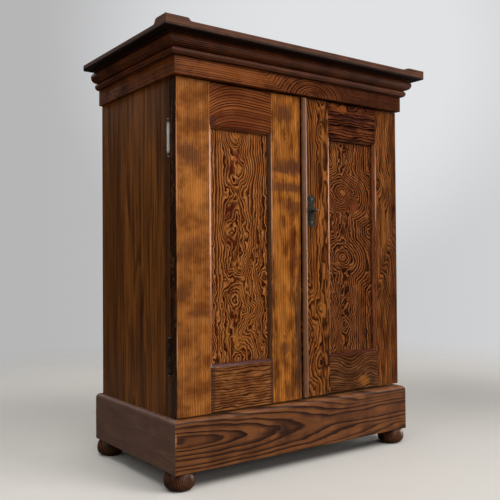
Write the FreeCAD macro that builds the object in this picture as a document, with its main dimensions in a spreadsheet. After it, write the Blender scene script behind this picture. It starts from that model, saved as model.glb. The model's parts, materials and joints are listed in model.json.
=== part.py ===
import FreeCAD, Part
import Sketcher
import os

# Low two-door cupboard in pitch pine: a mitred plinth on four bun feet, a boarded
# carcass with two shelves, a pair of overlaid frame-and-panel doors and a lifted
# cornice with a moulded crown and a cap whose edge rises into ears at the front.
#
# The frame stands on the floor: Z = 0 is the sole of the feet, the front faces -Y,
# and the origin is under the middle of the cap.  All sizes are millimetres.

SIZES = {
    # carcass
    "carcass_width": 650,
    "carcass_depth": 334,
    "carcass_height": 704,
    "side_thickness": 20,
    "deck_thickness": 20,
    "dado_depth": 6,
    "back_thickness": 10,
    "rabbet_width": 10,
    "tongue_length": 6,
    "tongue_thickness": 3.4,
    "tongue_clearance": 0.3,
    "shelf_thickness": 18,
    "shelf_setback": 24,
    "cleat_size": 20,
    "cleat_setback": 12,
    # plinth and feet
    "plinth_height": 108,
    "plinth_thickness": 18,
    "plinth_front_projection": 14,
    "plinth_side_projection": 13,
    "plinth_back_projection": 13,
    "plinth_round": 10,
    "ledger_lap": 20,
    "ledger_height": 22,
    "plinth_block_size": 44,
    "plinth_block_height": 40,
    "foot_height": 36,
    "foot_radius": 33,
    "foot_widest_height": 17,
    "foot_sole_radius": 20,
    "foot_top_radius": 27,
    "foot_inset_side": 26,
    "foot_inset_front": 29,
    "foot_inset_back": 30,
    "spigot_radius": 6.5,
    "spigot_length": 26,
    "spigot_clearance": 0.2,
    # cornice
    "frieze_height": 37,
    "frieze_thickness": 18,
    "frieze_front_projection": 10,
    "frieze_side_projection": 8,
    "bead_radius": 8.5,
    "bead_offset": 2,
    "nose_radius": 13,
    "nose_offset": 8,
    "cornice_block_size": 26,
    "cap_front_overhang": 52,
    "cap_side_overhang": 51,
    "cap_thickness": 11.5,
    "cap_edge_width": 24,
    "cap_edge_round": 3,
    "cap_front_edge_height": 16,
    "cap_ear_height": 22,
    "front_ear_length": 50,
    "side_ear_length": 38,
    "left_ear_ramp": 10,
    "right_ear_ramp": 28,
    "side_ear_ramp": 15,
    "cap_end_round": 9,
    # doors
    "door_thickness": 27,
    "door_gap": 1,
    "door_clearance": 3,
    "right_door_rise": 3,
    "meeting_gap": 4,
    "left_door_width": 330,
    "left_hinge_stile": 81,
    "left_meeting_stile": 84,
    "left_top_rail": 90,
    "left_bottom_rail": 94,
    "right_hinge_stile": 74,
    "right_meeting_stile": 83,
    "right_top_rail": 84,
    "right_bottom_rail": 87,
    "moulding_width": 8,
    "moulding_depth": 6,
    "panel_thickness": 9,
    "panel_recess": 9,
    "panel_groove_depth": 7,
    "panel_clearance": 0.5,
    "tenon_length": 45,
    "tenon_shoulder": 14,
    "tenon_clearance": 0.3,
    "meeting_bead_width": 15,
    "meeting_bead_height": 5,
    # butt hinges
    "hinge_length": 75,
    "hinge_from_end": 123,
    "hinge_axis_offset": 2,
    "hinge_barrel_radius": 3.75,
    "hinge_pin_radius": 2,
    "hinge_pin_clearance": 0.05,
    "hinge_pin_head_radius": 3,
    "hinge_pin_head_height": 2.5,
    "knuckle_gap": 0.4,
    "leaf_width": 18,
    "leaf_thickness": 2,
    "barrel_clearance": 0.4,
    "screw_radius": 1.6,
    "screw_head_radius": 3.2,
    "screw_length": 15,
    "screw_pitch": 25,
    "screw_clearance": 0.05,
    # rim lock, key and escutcheon
    "lock_height": 438,
    "keyhole_from_edge": 28,
    "lock_case_length": 56,
    "lock_case_height": 42,
    "lock_case_depth": 11,
    "lock_wall": 1.5,
    "lock_setback": 1,
    "lock_bolt_length": 44,
    "lock_bolt_thickness": 7.5,
    "lock_bolt_clearance": 0.5,
    "lock_throw": 12,
    "keeper_length": 16,
    "keeper_wall": 2,
    "key_shank_radius": 2.5,
    "key_clearance": 0.1,
    "key_bit_reach": 8,
    "key_bit_width": 6,
    "key_bit_thickness": 2.4,
    "key_projection": 15,
    "key_bow_radius": 6,
    "key_bow_wire": 1.6,
    "keyhole_radius": 3,
    "keyhole_slot_width": 3.4,
    "keyhole_slot_depth": 10,
    "escutcheon_thickness": 1.6,
    "escutcheon_disc_radius": 10.9,
    "escutcheon_lobe_radius": 7.5,
    "escutcheon_bar_width": 8,
    "escutcheon_tip_size": 6,
    "escutcheon_collar_radius": 7,
    "escutcheon_collar_height": 1.4,
    "escutcheon_pin_pitch": 27,
    "escutcheon_pin_radius": 1,
    "escutcheon_pin_head_radius": 2.2,
    "escutcheon_pin_head_height": 0.9,
    "escutcheon_pin_length": 12,
    # slide bolts inside the left door
    "rod_radius": 3.5,
    "rod_length": 80,
    "rod_clearance": 0.08,
    "rod_standoff": 6,
    "rod_from_edge": 32,
    "rod_throw": 12,
    "rod_tip_gap": 0.8,
    "keep_clearance": 0.5,
    "rod_knob_radius": 3,
    "rod_knob_length": 9,
    "guide_plate_width": 22,
    "guide_plate_length": 66,
    "guide_plate_thickness": 1.5,
    "guide_width": 14,
    "guide_length": 10,
    "guide_cover": 2,
    "keep_thickness": 1.2,
    "keep_width": 22,
    "keep_depth": 13,
}


class Size:
    """A length that follows the sheet: the text of its expression and its value."""

    def __init__(self, text, value):
        self.text = text
        self.value = float(value)

    def join(self, sign, other, value):
        return Size(f"({self.text} {sign} {other.text})", value)

    def __add__(self, other):
        other = as_size(other)
        return self.join("+", other, self.value + other.value)

    def __sub__(self, other):
        other = as_size(other)
        return self.join("-", other, self.value - other.value)

    def __mul__(self, other):
        other = as_size(other)
        return self.join("*", other, self.value * other.value)

    def __truediv__(self, other):
        other = as_size(other)
        return self.join("/", other, self.value / other.value)

    def __radd__(self, other):
        return as_size(other) + self

    def __rsub__(self, other):
        return as_size(other) - self

    def __rmul__(self, other):
        return as_size(other) * self

    def __neg__(self):
        return as_size(0) - self


def as_size(number):
    return number if isinstance(number, Size) else Size(repr(float(number)), number)


class Sheet:
    """The sizes as attributes, so that sheet.foot_height is the foot's height."""


doc = FreeCAD.newDocument("cupboard")
cells = doc.addObject("Spreadsheet::Sheet", "Sizes")
s = Sheet()
for row, (alias, number) in enumerate(SIZES.items(), start=1):
    cells.set(f"A{row}", alias)
    cells.set(f"B{row}", str(number))
    cells.setAlias(f"B{row}", alias)
    setattr(s, alias, Size(f"Sizes.{alias}", number))
doc.recompute()

nodes = []


# ---------------------------------------------------------------------------
# Ways of making a piece
# ---------------------------------------------------------------------------

def bind(thing, **properties):
    """Ties each property to its expression; a double underscore stands for a dot."""
    for name, size in properties.items():
        thing.setExpression(name.replace("__", "."), as_size(size).text)


def place(thing, x, y, z):
    bind(thing, Placement__Base__x=x, Placement__Base__y=y, Placement__Base__z=z)


def piece(name, origin):
    """A PartDesign body that becomes one node of the cupboard."""
    body = doc.addObject("PartDesign::Body", name)
    body.Label = name
    place(body, *origin)
    nodes.append(body)
    return body


def node(name, thing, origin):
    """Names a finished Part object as one node of the cupboard."""
    thing.Label = name
    place(thing, *origin)
    nodes.append(thing)
    return thing


AXES = {"X": FreeCAD.Vector(1, 0, 0), "Y": FreeCAD.Vector(0, 1, 0), "Z": FreeCAD.Vector(0, 0, 1)}


def shape_box(box, x, y, z):
    """Sets a box primitive to the spans x, y and z, each a pair of low and high."""
    bind(box, Length=x[1] - x[0], Width=y[1] - y[0], Height=z[1] - z[0])
    place(box, x[0], y[0], z[0])


def shape_rod(rod, radius, axis, span, centre):
    """Sets a cylinder primitive along an axis: its span there and its centre across."""
    bind(rod, Radius=radius, Height=span[1] - span[0])
    turn = FreeCAD.Rotation(AXES["Z"], AXES[axis])
    rod.Placement = FreeCAD.Placement(FreeCAD.Vector(), turn)
    across = list(centre)
    across.insert("XYZ".index(axis), span[0])
    place(rod, *across)


def add_box(body, x, y, z):
    shape_box(body.newObject("PartDesign::AdditiveBox", "Block"), x, y, z)


def cut_box(body, x, y, z):
    shape_box(body.newObject("PartDesign::SubtractiveBox", "Recess"), x, y, z)


def cut_rod(body, radius, axis, span, centre):
    shape_rod(body.newObject("PartDesign::SubtractiveCylinder", "Bore"), radius, axis, span, centre)


def block(x, y, z):
    box = doc.addObject("Part::Box", "Block")
    shape_box(box, x, y, z)
    return box


def rod(radius, axis, span, centre):
    cylinder = doc.addObject("Part::Cylinder", "Rod")
    shape_rod(cylinder, radius, axis, span, centre)
    return cylinder


def joined(things):
    fuse = doc.addObject("Part::MultiFuse", "Joined")
    fuse.Shapes = things
    return fuse


def pierced(base, tools):
    cut = doc.addObject("Part::Cut", "Pierced")
    cut.Base = base
    cut.Tool = joined(tools) if len(tools) > 1 else tools[0]
    return cut


# A sketch plane's role, and which way its normal points along the third axis.
PLANES = {"XY": ("XY_Plane", 1), "XZ": ("XZ_Plane", -1), "YZ": ("YZ_Plane", 1)}


def corner(point):
    return FreeCAD.Vector(point[0].value, point[1].value, 0)


def arc_between(start, end, centre, turn):
    """The arc from start to end about centre; turn is 1 anticlockwise, -1 clockwise."""
    first, last = (start, end) if turn > 0 else (end, start)
    middle = corner(centre)
    spoke = corner(first) - middle
    full = Part.Circle(middle, AXES["Z"], spoke.Length)
    return Part.ArcOfCircle(full, full.parameter(corner(first)), full.parameter(corner(last)))


def fix_point(sketch, geometry, vertex, point, axes="XY"):
    for axis, size in zip("XY", point):
        if axis in axes:
            rule = Sketcher.Constraint(f"Distance{axis}", -1, 1, geometry, vertex, size.value)
            index = sketch.addConstraint(rule)
            sketch.setExpression(f"Constraints[{index}]", size.text)


def draw(body, plane, level, outline):
    """A closed sketch on one of the body's planes, lifted to a level along its axis.

    Each corner is (x, y), and (x, y, centre, turn) where the edge that leaves it is
    an arc about that centre.
    """
    role, normal = PLANES[plane]
    sketch = body.newObject("Sketcher::SketchObject", "Outline")
    base = [face for face in body.Origin.OriginFeatures if face.Role == role][0]
    sketch.AttachmentSupport = (base, [""])
    sketch.MapMode = "FlatFace"
    bind(sketch, AttachmentOffset__Base__z=level * normal)
    outline = [tuple(as_size(part) for part in point[:2]) + tuple(point[2:]) for point in outline]
    following = outline[1:] + outline[:1]
    first_vertex = []
    for start, end in zip(outline, following):
        if len(start) == 2:
            sketch.addGeometry(Part.LineSegment(corner(start), corner(end)), False)
            first_vertex.append(1)
        else:
            sketch.addGeometry(arc_between(start, end, start[2], start[3]), False)
            first_vertex.append(1 if start[3] > 0 else 2)
    count = len(outline)
    for index in range(count):
        after = (index + 1) % count
        last = 3 - first_vertex[index]
        sketch.addConstraint(
            Sketcher.Constraint("Coincident", index, last, after, first_vertex[after]))
    for index, (start, end) in enumerate(zip(outline, following)):
        fix_point(sketch, index, first_vertex[index], start[:2])
        if len(start) == 4:
            chord = corner(end) - corner(start)
            axes = "X" if abs(chord.y) > abs(chord.x) else "Y"
            fix_point(sketch, index, 3, start[2], axes)
    return sketch


def extrude(body, kind, plane, span, outline):
    """Pads or pockets an outline over a span of the axis across its plane."""
    normal = PLANES[plane][1]
    level = span[0] if normal > 0 else span[1]
    feature = body.newObject(f"PartDesign::{kind}", kind)
    feature.Profile = draw(body, plane, level, outline)
    bind(feature, Length=span[1] - span[0])
    feature.Reversed = kind == "Pocket"
    body.Tip = feature
    return feature


def pad(body, plane, span, outline):
    return extrude(body, "Pad", plane, span, outline)


def pocket(body, plane, span, outline):
    return extrude(body, "Pocket", plane, span, outline)


def rectangle(x, y):
    return [(x[0], y[0]), (x[1], y[0]), (x[1], y[1]), (x[0], y[1])]


def mirrored(hand, low, high):
    """A span across the cupboard for the left (-1) or the right (+1) hand."""
    return (low, high) if hand > 0 else (-high, -low)


HANDS = {"left": -1, "right": 1}
PAST = 1.0  # how far a cutting shape runs past the face that it opens

# ---------------------------------------------------------------------------
# Main levels and planes, from the floor up and from the carcass front back
# ---------------------------------------------------------------------------

half_width = s.carcass_width / 2
door_face = -(s.door_gap + s.door_thickness)
foot_behind = s.carcass_depth + s.plinth_back_projection + s.foot_radius - s.foot_inset_back
front = (s.cap_front_overhang - door_face - foot_behind) / 2
plinth_level = s.foot_height
carcass_level = plinth_level + s.plinth_height
cornice_level = carcass_level + s.carcass_height
crown_height = 2 * s.bead_radius + 2 * s.nose_radius
cap_level = cornice_level + s.frieze_height + crown_height

PLINTH = (0, front, plinth_level)
CARCASS = (0, front, carcass_level)
CORNICE = (0, front, cornice_level)
CAP = (0, front, cap_level)


# ---------------------------------------------------------------------------
# Mitred runs: plinth boards, frieze, crown and cap edge go round three sides
# ---------------------------------------------------------------------------

def run_outline(face, out, profile):
    """Lays a profile of (proud, height) against a face that looks along out."""
    outline = []
    for proud, height, *arc in profile:
        point = (face + out * as_size(proud), height)
        if arc:
            centre = (face + out * as_size(arc[0][0]), as_size(arc[0][1]))
            point += (centre, arc[1] * out)
        outline.append(point)
    return outline


def front_run(name, origin, side_face, front_face, reach, thickness, profile, height):
    """A front board with mitred ends; reach is how far its profile stands proud."""
    body = piece(name, origin)
    end = side_face + reach
    pad(body, "YZ", (-end, end), run_outline(front_face, -1, profile))
    inner = side_face - thickness - PAST
    outer = end + PAST
    for hand in HANDS.values():
        triangle = [
            (hand * outer, front_face - reach - PAST),
            (hand * outer, front_face + thickness + PAST),
            (hand * inner, front_face + thickness + PAST),
        ]
        pocket(body, "XY", (as_size(-PAST), height + PAST), triangle)
    return body


def side_run(name, origin, hand, side_face, front_face, back_face, reach, thickness, profile,
             height):
    """A side board, mitred at the front and square at the back."""
    body = piece(name, origin)
    span = (front_face - reach, back_face)
    pad(body, "XZ", span, run_outline(hand * side_face, hand, profile))
    inner = side_face - thickness - PAST
    outer = side_face + reach + PAST
    triangle = [
        (hand * outer, front_face - reach - PAST),
        (hand * inner, front_face - reach - PAST),
        (hand * inner, front_face + thickness + PAST),
    ]
    pocket(body, "XY", (as_size(-PAST), height + PAST), triangle)
    return body


def board_profile(thickness, height):
    return [(-thickness, 0), (0, 0), (0, height), (-thickness, height)]


# ---------------------------------------------------------------------------
# Carcass: two solid sides, decks let into them, lapped back boards, two shelves
# ---------------------------------------------------------------------------

inside_half = half_width - s.side_thickness
back_front = s.carcass_depth - s.back_thickness
deck_span = (as_size(0), s.deck_thickness)
upper_deck_span = (s.carcass_height - s.deck_thickness, s.carcass_height)
hinge_axis = half_width + s.hinge_axis_offset
hinge_axis_y = -(s.door_gap / 2)
door_bottom = {"left": s.door_clearance, "right": s.door_clearance + s.right_door_rise}
door_height = {
    hand: s.carcass_height - s.door_clearance - door_bottom[hand] for hand in HANDS
}


def hinge_centres(hand):
    """Heights of a door's two hinges above the carcass bottom."""
    low = door_bottom[hand] + s.hinge_from_end
    high = door_bottom[hand] + door_height[hand] - s.hinge_from_end
    return [low, high]


def screw_heights(centre):
    return [centre - s.screw_pitch, centre, centre + s.screw_pitch]


plate_start = s.hinge_barrel_radius + s.barrel_clearance
screw_inset = (plate_start + s.hinge_axis_offset + s.leaf_width) / 2


def hinge_recess(body, hand, axis_x, centre, depth_span):
    """Lets one leaf and the barrel of a hinge into the wood, with screw pilots."""
    half = s.hinge_length / 2
    span = (centre - half, centre + half)
    edge = mirrored(hand, axis_x - s.hinge_axis_offset - s.leaf_width, axis_x + PAST)
    cut_box(body, edge, depth_span, span)
    room = s.hinge_pin_head_height + s.barrel_clearance
    cut_rod(body, s.hinge_barrel_radius + s.barrel_clearance, "Z",
            (span[0] - room, span[1] + room), (hand * axis_x, hinge_axis_y))


def screw_pilots(body, across, centre, span):
    for height in screw_heights(centre):
        cut_rod(body, s.screw_radius + s.screw_clearance, "Y", span, (across, height))


for name, hand in HANDS.items():
    body = piece(f"carcass_side_{name}", CARCASS)
    width = mirrored(hand, inside_half, half_width)
    pad(body, "XY", (as_size(0), s.carcass_height), rectangle(width, (as_size(0), s.carcass_depth)))
    rabbet = mirrored(hand, inside_half - PAST, inside_half + s.rabbet_width)
    cut_box(body, rabbet, (back_front, s.carcass_depth + PAST), (-PAST, s.carcass_height + PAST))
    dado = mirrored(hand, inside_half - PAST, inside_half + s.dado_depth)
    cut_box(body, dado, (-PAST, back_front), (-PAST, s.deck_thickness))
    cut_box(body, dado, (-PAST, back_front), (upper_deck_span[0], s.carcass_height + PAST))
    for centre in hinge_centres(name):
        hinge_recess(body, hand, hinge_axis, centre, (-PAST, s.leaf_thickness))
        pilots = (s.leaf_thickness - PAST, s.screw_length + s.screw_clearance)
        screw_pilots(body, hand * (hinge_axis - screw_inset), centre, pilots)

deck_half = inside_half + s.dado_depth
left_free_edge = s.left_door_width - half_width
rod_x = left_free_edge - s.rod_from_edge
door_back = -s.door_gap
rod_y = door_back + s.guide_plate_thickness + s.rod_standoff
keep_reach = s.rod_radius + s.keep_clearance
keep_hole = [(middle - keep_reach, middle + keep_reach) for middle in (rod_x, rod_y)]
for name, span in {"carcass_bottom": deck_span, "carcass_top": upper_deck_span}.items():
    body = piece(name, CARCASS)
    pad(body, "XY", span, rectangle((-deck_half, deck_half), (as_size(0), back_front)))
    if name == "carcass_bottom":
        hole = (span[1] - s.rod_throw - s.keep_thickness, span[1] + PAST)
    else:
        hole = (span[0] - PAST, span[0] + s.rod_throw + s.keep_thickness)
    cut_box(body, *keep_hole, hole)

BACK_BOARDS = ["left", "middle", "right"]
back_half = inside_half + s.rabbet_width
back_board_width = 2 * back_half / len(BACK_BOARDS)
tongue_middle = back_front + s.back_thickness / 2
for index, name in enumerate(BACK_BOARDS):
    body = piece(f"back_board_{name}", CARCASS)
    low = -back_half + index * back_board_width
    high = low + back_board_width
    tall = (as_size(0), s.carcass_height)
    pad(body, "XY", tall, rectangle((low, high), (back_front, s.carcass_depth)))
    if index > 0:
        half = s.tongue_thickness / 2 + s.tongue_clearance
        groove = (low - PAST, low + s.tongue_length + s.tongue_clearance)
        cut_box(body, groove, (tongue_middle - half, tongue_middle + half),
                (-PAST, s.carcass_height + PAST))
    if index < len(BACK_BOARDS) - 1:
        half = s.tongue_thickness / 2
        add_box(body, (high, high + s.tongue_length),
                (tongue_middle - half, tongue_middle + half), tall)

SHELVES = ["lower", "upper"]
clear_height = s.carcass_height - 2 * s.deck_thickness - len(SHELVES) * s.shelf_thickness
compartment = clear_height / (len(SHELVES) + 1)
cleats = []
for index, name in enumerate(SHELVES):
    level = s.deck_thickness + (index + 1) * compartment + index * s.shelf_thickness
    body = piece(f"shelf_{name}", CARCASS)
    pad(body, "XY", (level, level + s.shelf_thickness),
        rectangle((-inside_half, inside_half), (s.shelf_setback, back_front)))
    for hand in HANDS.values():
        cleats.append(block(
            mirrored(hand, inside_half - s.cleat_size, inside_half),
            (s.shelf_setback + s.cleat_setback, back_front),
            (level - s.cleat_size, level)))
node("shelf_cleats", joined(cleats), CARCASS)

# ---------------------------------------------------------------------------
# Plinth: a mitred box with a rounded upper edge, ledgers that carry the carcass
# and corner blocks that take the spigots of the feet
# ---------------------------------------------------------------------------

plinth_side = half_width + s.plinth_side_projection
plinth_front = door_face - s.plinth_front_projection
plinth_back = s.carcass_depth + s.plinth_back_projection
plinth_inner = plinth_side - s.plinth_thickness
plinth_profile = [
    (-s.plinth_thickness, 0),
    (0, 0),
    (0, s.plinth_height - s.plinth_round,
     (-s.plinth_round, s.plinth_height - s.plinth_round), 1),
    (-s.plinth_round, s.plinth_height),
    (-s.plinth_thickness, s.plinth_height),
]
front_run("plinth_front", PLINTH, plinth_side, plinth_front, 0,
          s.plinth_thickness, plinth_profile, s.plinth_height)
for name, hand in HANDS.items():
    side_run(f"plinth_side_{name}", PLINTH, hand, plinth_side, plinth_front, plinth_back, 0,
             s.plinth_thickness, plinth_profile, s.plinth_height)

body = piece("plinth_back", PLINTH)
pad(body, "YZ", (-plinth_inner, plinth_inner), run_outline(plinth_back, 1, plinth_profile))

behind_front = plinth_front + s.plinth_thickness
before_back = plinth_back - s.plinth_thickness
ledger_span = (s.plinth_height - s.ledger_height, s.plinth_height)
node("plinth_ledgers", joined([
    block((-plinth_inner, plinth_inner), (behind_front, s.ledger_lap), ledger_span),
    block((-plinth_inner, plinth_inner), (before_back - s.ledger_lap, before_back), ledger_span),
]), PLINTH)

foot_places = {
    "front": plinth_front + s.foot_inset_front,
    "back": plinth_back - s.foot_inset_back,
}
foot_x = plinth_side - s.foot_inset_side
corner_blocks = []
spigot_holes = []
for end, foot_y in foot_places.items():
    if end == "front":
        depth = (behind_front, behind_front + s.plinth_block_size)
    else:
        depth = (before_back - s.plinth_block_size, before_back)
    for hand in HANDS.values():
        width = mirrored(hand, plinth_inner - s.plinth_block_size, plinth_inner)
        corner_blocks.append(block(width, depth, (as_size(0), s.plinth_block_height)))
        spigot_holes.append(rod(
            s.spigot_radius + s.spigot_clearance, "Z",
            (as_size(-PAST), s.spigot_length + s.spigot_clearance), (hand * foot_x, foot_y)))
node("plinth_corner_blocks", pierced(joined(corner_blocks), spigot_holes), PLINTH)


def bulge_radius(reach, rise):
    """Radius of an arc that leaves a widest point upright and covers reach and rise."""
    return (reach * reach + rise * rise) / (2 * reach)


# Bun feet: a flattened ball with a turned spigot on top.
upper_rise = s.foot_height - s.foot_widest_height
upper_bulge = bulge_radius(s.foot_radius - s.foot_top_radius, upper_rise)
lower_bulge = bulge_radius(s.foot_radius - s.foot_sole_radius, s.foot_widest_height)
foot_profile = [
    (0, 0),
    (s.foot_sole_radius, 0, (s.foot_radius - lower_bulge, s.foot_widest_height), 1),
    (s.foot_radius, s.foot_widest_height,
     (s.foot_radius - upper_bulge, s.foot_widest_height), 1),
    (s.foot_top_radius, s.foot_height),
    (s.spigot_radius, s.foot_height),
    (s.spigot_radius, s.foot_height + s.spigot_length),
    (0, s.foot_height + s.spigot_length),
]
for end, foot_y in foot_places.items():
    for name, hand in HANDS.items():
        body = piece(f"foot_{end}_{name}", (hand * foot_x, front + foot_y, 0))
        turned = body.newObject("PartDesign::Revolution", "Turned")
        turned.Profile = draw(body, "XZ", as_size(0), foot_profile)
        turned.ReferenceAxis = (turned.Profile[0], ["V_Axis"])
        turned.Angle = 360
        body.Tip = turned

# ---------------------------------------------------------------------------
# Cornice: a frieze box on top of the carcass, a crown of two stacked half-rounds,
# and a cap board edged with strips that rise into ears at the front corners
# ---------------------------------------------------------------------------

frieze_side = half_width + s.frieze_side_projection
frieze_front = door_face - s.frieze_front_projection
frieze_inner = frieze_side - s.frieze_thickness
frieze_profile = board_profile(s.frieze_thickness, s.frieze_height)
bead_top = 2 * s.bead_radius
crown_reach = s.nose_offset + s.nose_radius
crown_profile = [
    (-s.frieze_thickness, 0),
    (s.bead_offset, 0, (s.bead_offset, s.bead_radius), 1),
    (s.bead_offset, bead_top),
    (s.nose_offset, bead_top, (s.nose_offset, bead_top + s.nose_radius), 1),
    (s.nose_offset, crown_height),
    (-s.frieze_thickness, crown_height),
]
CROWN = (0, front, cornice_level + s.frieze_height)

front_run("frieze_front", CORNICE, frieze_side, frieze_front, 0,
          s.frieze_thickness, frieze_profile, s.frieze_height)
front_run("crown_front", CROWN, frieze_side, frieze_front, crown_reach,
          s.frieze_thickness, crown_profile, crown_height)
for name, hand in HANDS.items():
    side_run(f"frieze_{name}", CORNICE, hand, frieze_side, frieze_front, s.carcass_depth, 0,
             s.frieze_thickness, frieze_profile, s.frieze_height)
    side_run(f"crown_{name}", CROWN, hand, frieze_side, frieze_front, s.carcass_depth,
             crown_reach, s.frieze_thickness, crown_profile, crown_height)

cornice_height = s.frieze_height + crown_height
behind_frieze = frieze_front + s.frieze_thickness
before_rail = s.carcass_depth - s.frieze_thickness
body = piece("cornice_back_rail", CORNICE)
pad(body, "XY", (as_size(0), cornice_height),
    rectangle((-frieze_inner, frieze_inner), (before_rail, s.carcass_depth)))

# Glue blocks stand on the carcass top, in the corners and behind the frieze.
block_front = (behind_frieze, behind_frieze + s.cornice_block_size + s.cornice_block_size)
block_back = (before_rail - s.cornice_block_size, before_rail)
tall = (as_size(0), cornice_height)
glue_blocks = [block(
    (-s.cornice_block_size / 2, s.cornice_block_size / 2), block_front, tall)]
for hand in HANDS.values():
    width = mirrored(hand, frieze_inner - s.cornice_block_size, frieze_inner)
    glue_blocks.append(block(width, block_front, tall))
    glue_blocks.append(block(width, block_back, tall))
node("cornice_blocks", joined(glue_blocks), CORNICE)

cap_side = half_width + s.cap_side_overhang
cap_front = door_face - s.cap_front_overhang
cap_inner = cap_side - s.cap_edge_width
body = piece("cap_board", CAP)
pad(body, "XY", (as_size(0), s.cap_thickness),
    rectangle((-cap_inner, cap_inner), (cap_front + s.cap_edge_width, s.carcass_depth)))

cap_edge_profile = [
    (-s.cap_edge_width, 0),
    (-s.cap_edge_round, 0, (-s.cap_edge_round, s.cap_edge_round), 1),
    (0, s.cap_edge_round),
    (0, s.cap_ear_height),
    (-s.cap_edge_width, s.cap_ear_height),
]


def ear_drop(start, ramp, low, sign):
    """The sawn reverse curve from an ear's top at start down to a low edge."""
    high = s.cap_ear_height
    fall = high - low
    radius = (ramp * ramp + fall * fall) / (4 * fall)
    middle = (start + sign * ramp / 2, (high + low) / 2)
    end = start + sign * ramp
    crest = (start, high, (start, high - radius), -sign)
    hollow = (middle[0], middle[1], (end, low + radius), sign)
    return [crest, hollow, (end, low)]


def reversed_curve(points):
    """The same chain of corners and arcs, travelled the other way."""
    backward = [points[-1][:2]]
    for point in reversed(points[:-1]):
        before = backward.pop()
        backward.append(before + ((point[2], -point[3]) if len(point) == 4 else ()))
        backward.append(point[:2])
    return backward


body = front_run("cap_edge_front", CAP, cap_side, cap_front, 0,
                 s.cap_edge_width, cap_edge_profile, s.cap_ear_height)
above = s.cap_ear_height + PAST
left_drop = ear_drop(s.front_ear_length - cap_side, s.left_ear_ramp, s.cap_front_edge_height, 1)
right_drop = ear_drop(cap_side - s.front_ear_length, s.right_ear_ramp, s.cap_front_edge_height, -1)
between_ears = left_drop + reversed_curve(right_drop)
between_ears += [(right_drop[0][0], above), (left_drop[0][0], above)]
pocket(body, "XZ", (cap_front - PAST, cap_front + s.cap_edge_width + PAST), between_ears)

for name, hand in HANDS.items():
    body = side_run(f"cap_edge_{name}", CAP, hand, cap_side, cap_front, s.carcass_depth, 0,
                    s.cap_edge_width, cap_edge_profile, s.cap_ear_height)
    drop = ear_drop(cap_front + s.side_ear_length, s.side_ear_ramp, s.cap_thickness, 1)
    behind_ear = drop + [
        (s.carcass_depth + PAST, s.cap_thickness),
        (s.carcass_depth + PAST, above),
        (drop[0][0], above),
    ]
    pocket(body, "YZ", mirrored(hand, cap_inner - PAST, cap_side + PAST), behind_ear)
    rounding = [
        (hand * cap_side, s.carcass_depth - s.cap_end_round,
         (hand * (cap_side - s.cap_end_round), s.carcass_depth - s.cap_end_round), hand),
        (hand * (cap_side - s.cap_end_round), s.carcass_depth),
        (hand * (cap_side - s.cap_end_round), s.carcass_depth + PAST),
        (hand * (cap_side + PAST), s.carcass_depth + PAST),
        (hand * (cap_side + PAST), s.carcass_depth - s.cap_end_round),
    ]
    pocket(body, "XY", (as_size(-PAST), above), rounding)

# ---------------------------------------------------------------------------
# Doors: two stiles, two rails with tenons and a panel in a groove.  Distances in
# a door run inward from its hinge axis, and heights from its lower edge.
# ---------------------------------------------------------------------------

right_door_width = s.carcass_width - s.left_door_width - s.meeting_gap
door_width = {"left": s.left_door_width, "right": right_door_width}
hinge_stile = {"left": s.left_hinge_stile, "right": s.right_hinge_stile}
meeting_stile = {"left": s.left_meeting_stile, "right": s.right_meeting_stile}
top_rail = {"left": s.left_top_rail, "right": s.right_top_rail}
bottom_rail = {"left": s.left_bottom_rail, "right": s.right_bottom_rail}
door_depth = (door_face, door_back)
groove_depth = (door_face + s.panel_recess, door_face + s.panel_recess + s.panel_thickness)


class Door:
    """The lines that a door's pieces share."""

    def __init__(self, name):
        self.name = name
        self.inward = -HANDS[name]
        self.origin = (HANDS[name] * hinge_axis, front, carcass_level + door_bottom[name])
        self.height = door_height[name]
        self.hinge_edge = s.hinge_axis_offset
        self.free_edge = self.hinge_edge + door_width[name]
        self.hinge_shoulder = self.hinge_edge + hinge_stile[name]
        self.meeting_shoulder = self.free_edge - meeting_stile[name]
        self.opening = (self.hinge_shoulder + s.moulding_width,
                        self.meeting_shoulder - s.moulding_width)
        self.low_shoulder = bottom_rail[name]
        self.high_shoulder = self.height - top_rail[name]
        self.rise = (self.low_shoulder + s.moulding_width,
                     self.high_shoulder - s.moulding_width)

    def span(self, low, high):
        """A span of distances from the hinge axis, as a span along X."""
        return (low, high) if self.inward > 0 else (-high, -low)

    def outline(self, points):
        return [(self.inward * as_size(across), height) for across, height in points]

    def piece(self, part):
        return piece(f"{self.name}_door_{part}", self.origin)


def cut_panel_groove(body, door):
    room = s.panel_groove_depth + s.panel_clearance
    cut_box(body, door.span(door.opening[0] - room, door.opening[1] + room), groove_depth,
            (door.rise[0] - room, door.rise[1] + room))


def stile_moulding(body, door, edge, away):
    """Cuts the sloping moulding along a stile's inner edge; away points into the stile."""
    slope = [
        (door.inward * edge, door_face + s.moulding_depth),
        (door.inward * edge, door_face - PAST),
        (door.inward * (edge + away * s.moulding_width), door_face - PAST),
        (door.inward * (edge + away * s.moulding_width), door_face),
    ]
    pocket(body, "XY", (door.low_shoulder, door.high_shoulder), slope)


def rail_moulding(body, door, edge, away):
    slope = [
        (door_face + s.moulding_depth, edge),
        (door_face - PAST, edge),
        (door_face - PAST, edge + away * s.moulding_width),
        (door_face, edge + away * s.moulding_width),
    ]
    span = door.span(door.hinge_shoulder, door.meeting_shoulder)
    pocket(body, "YZ", span, slope)


def tenon_spans(door):
    """Heights of the lower and upper rails' tenons."""
    return [
        (s.tenon_shoulder, door.low_shoulder - s.tenon_shoulder),
        (door.high_shoulder + s.tenon_shoulder, door.height - s.tenon_shoulder),
    ]


def cut_mortises(body, door, low, high):
    gap = s.tenon_clearance
    for bottom, top in tenon_spans(door):
        cut_box(body, door.span(low, high), groove_depth, (bottom - gap, top + gap))


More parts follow.
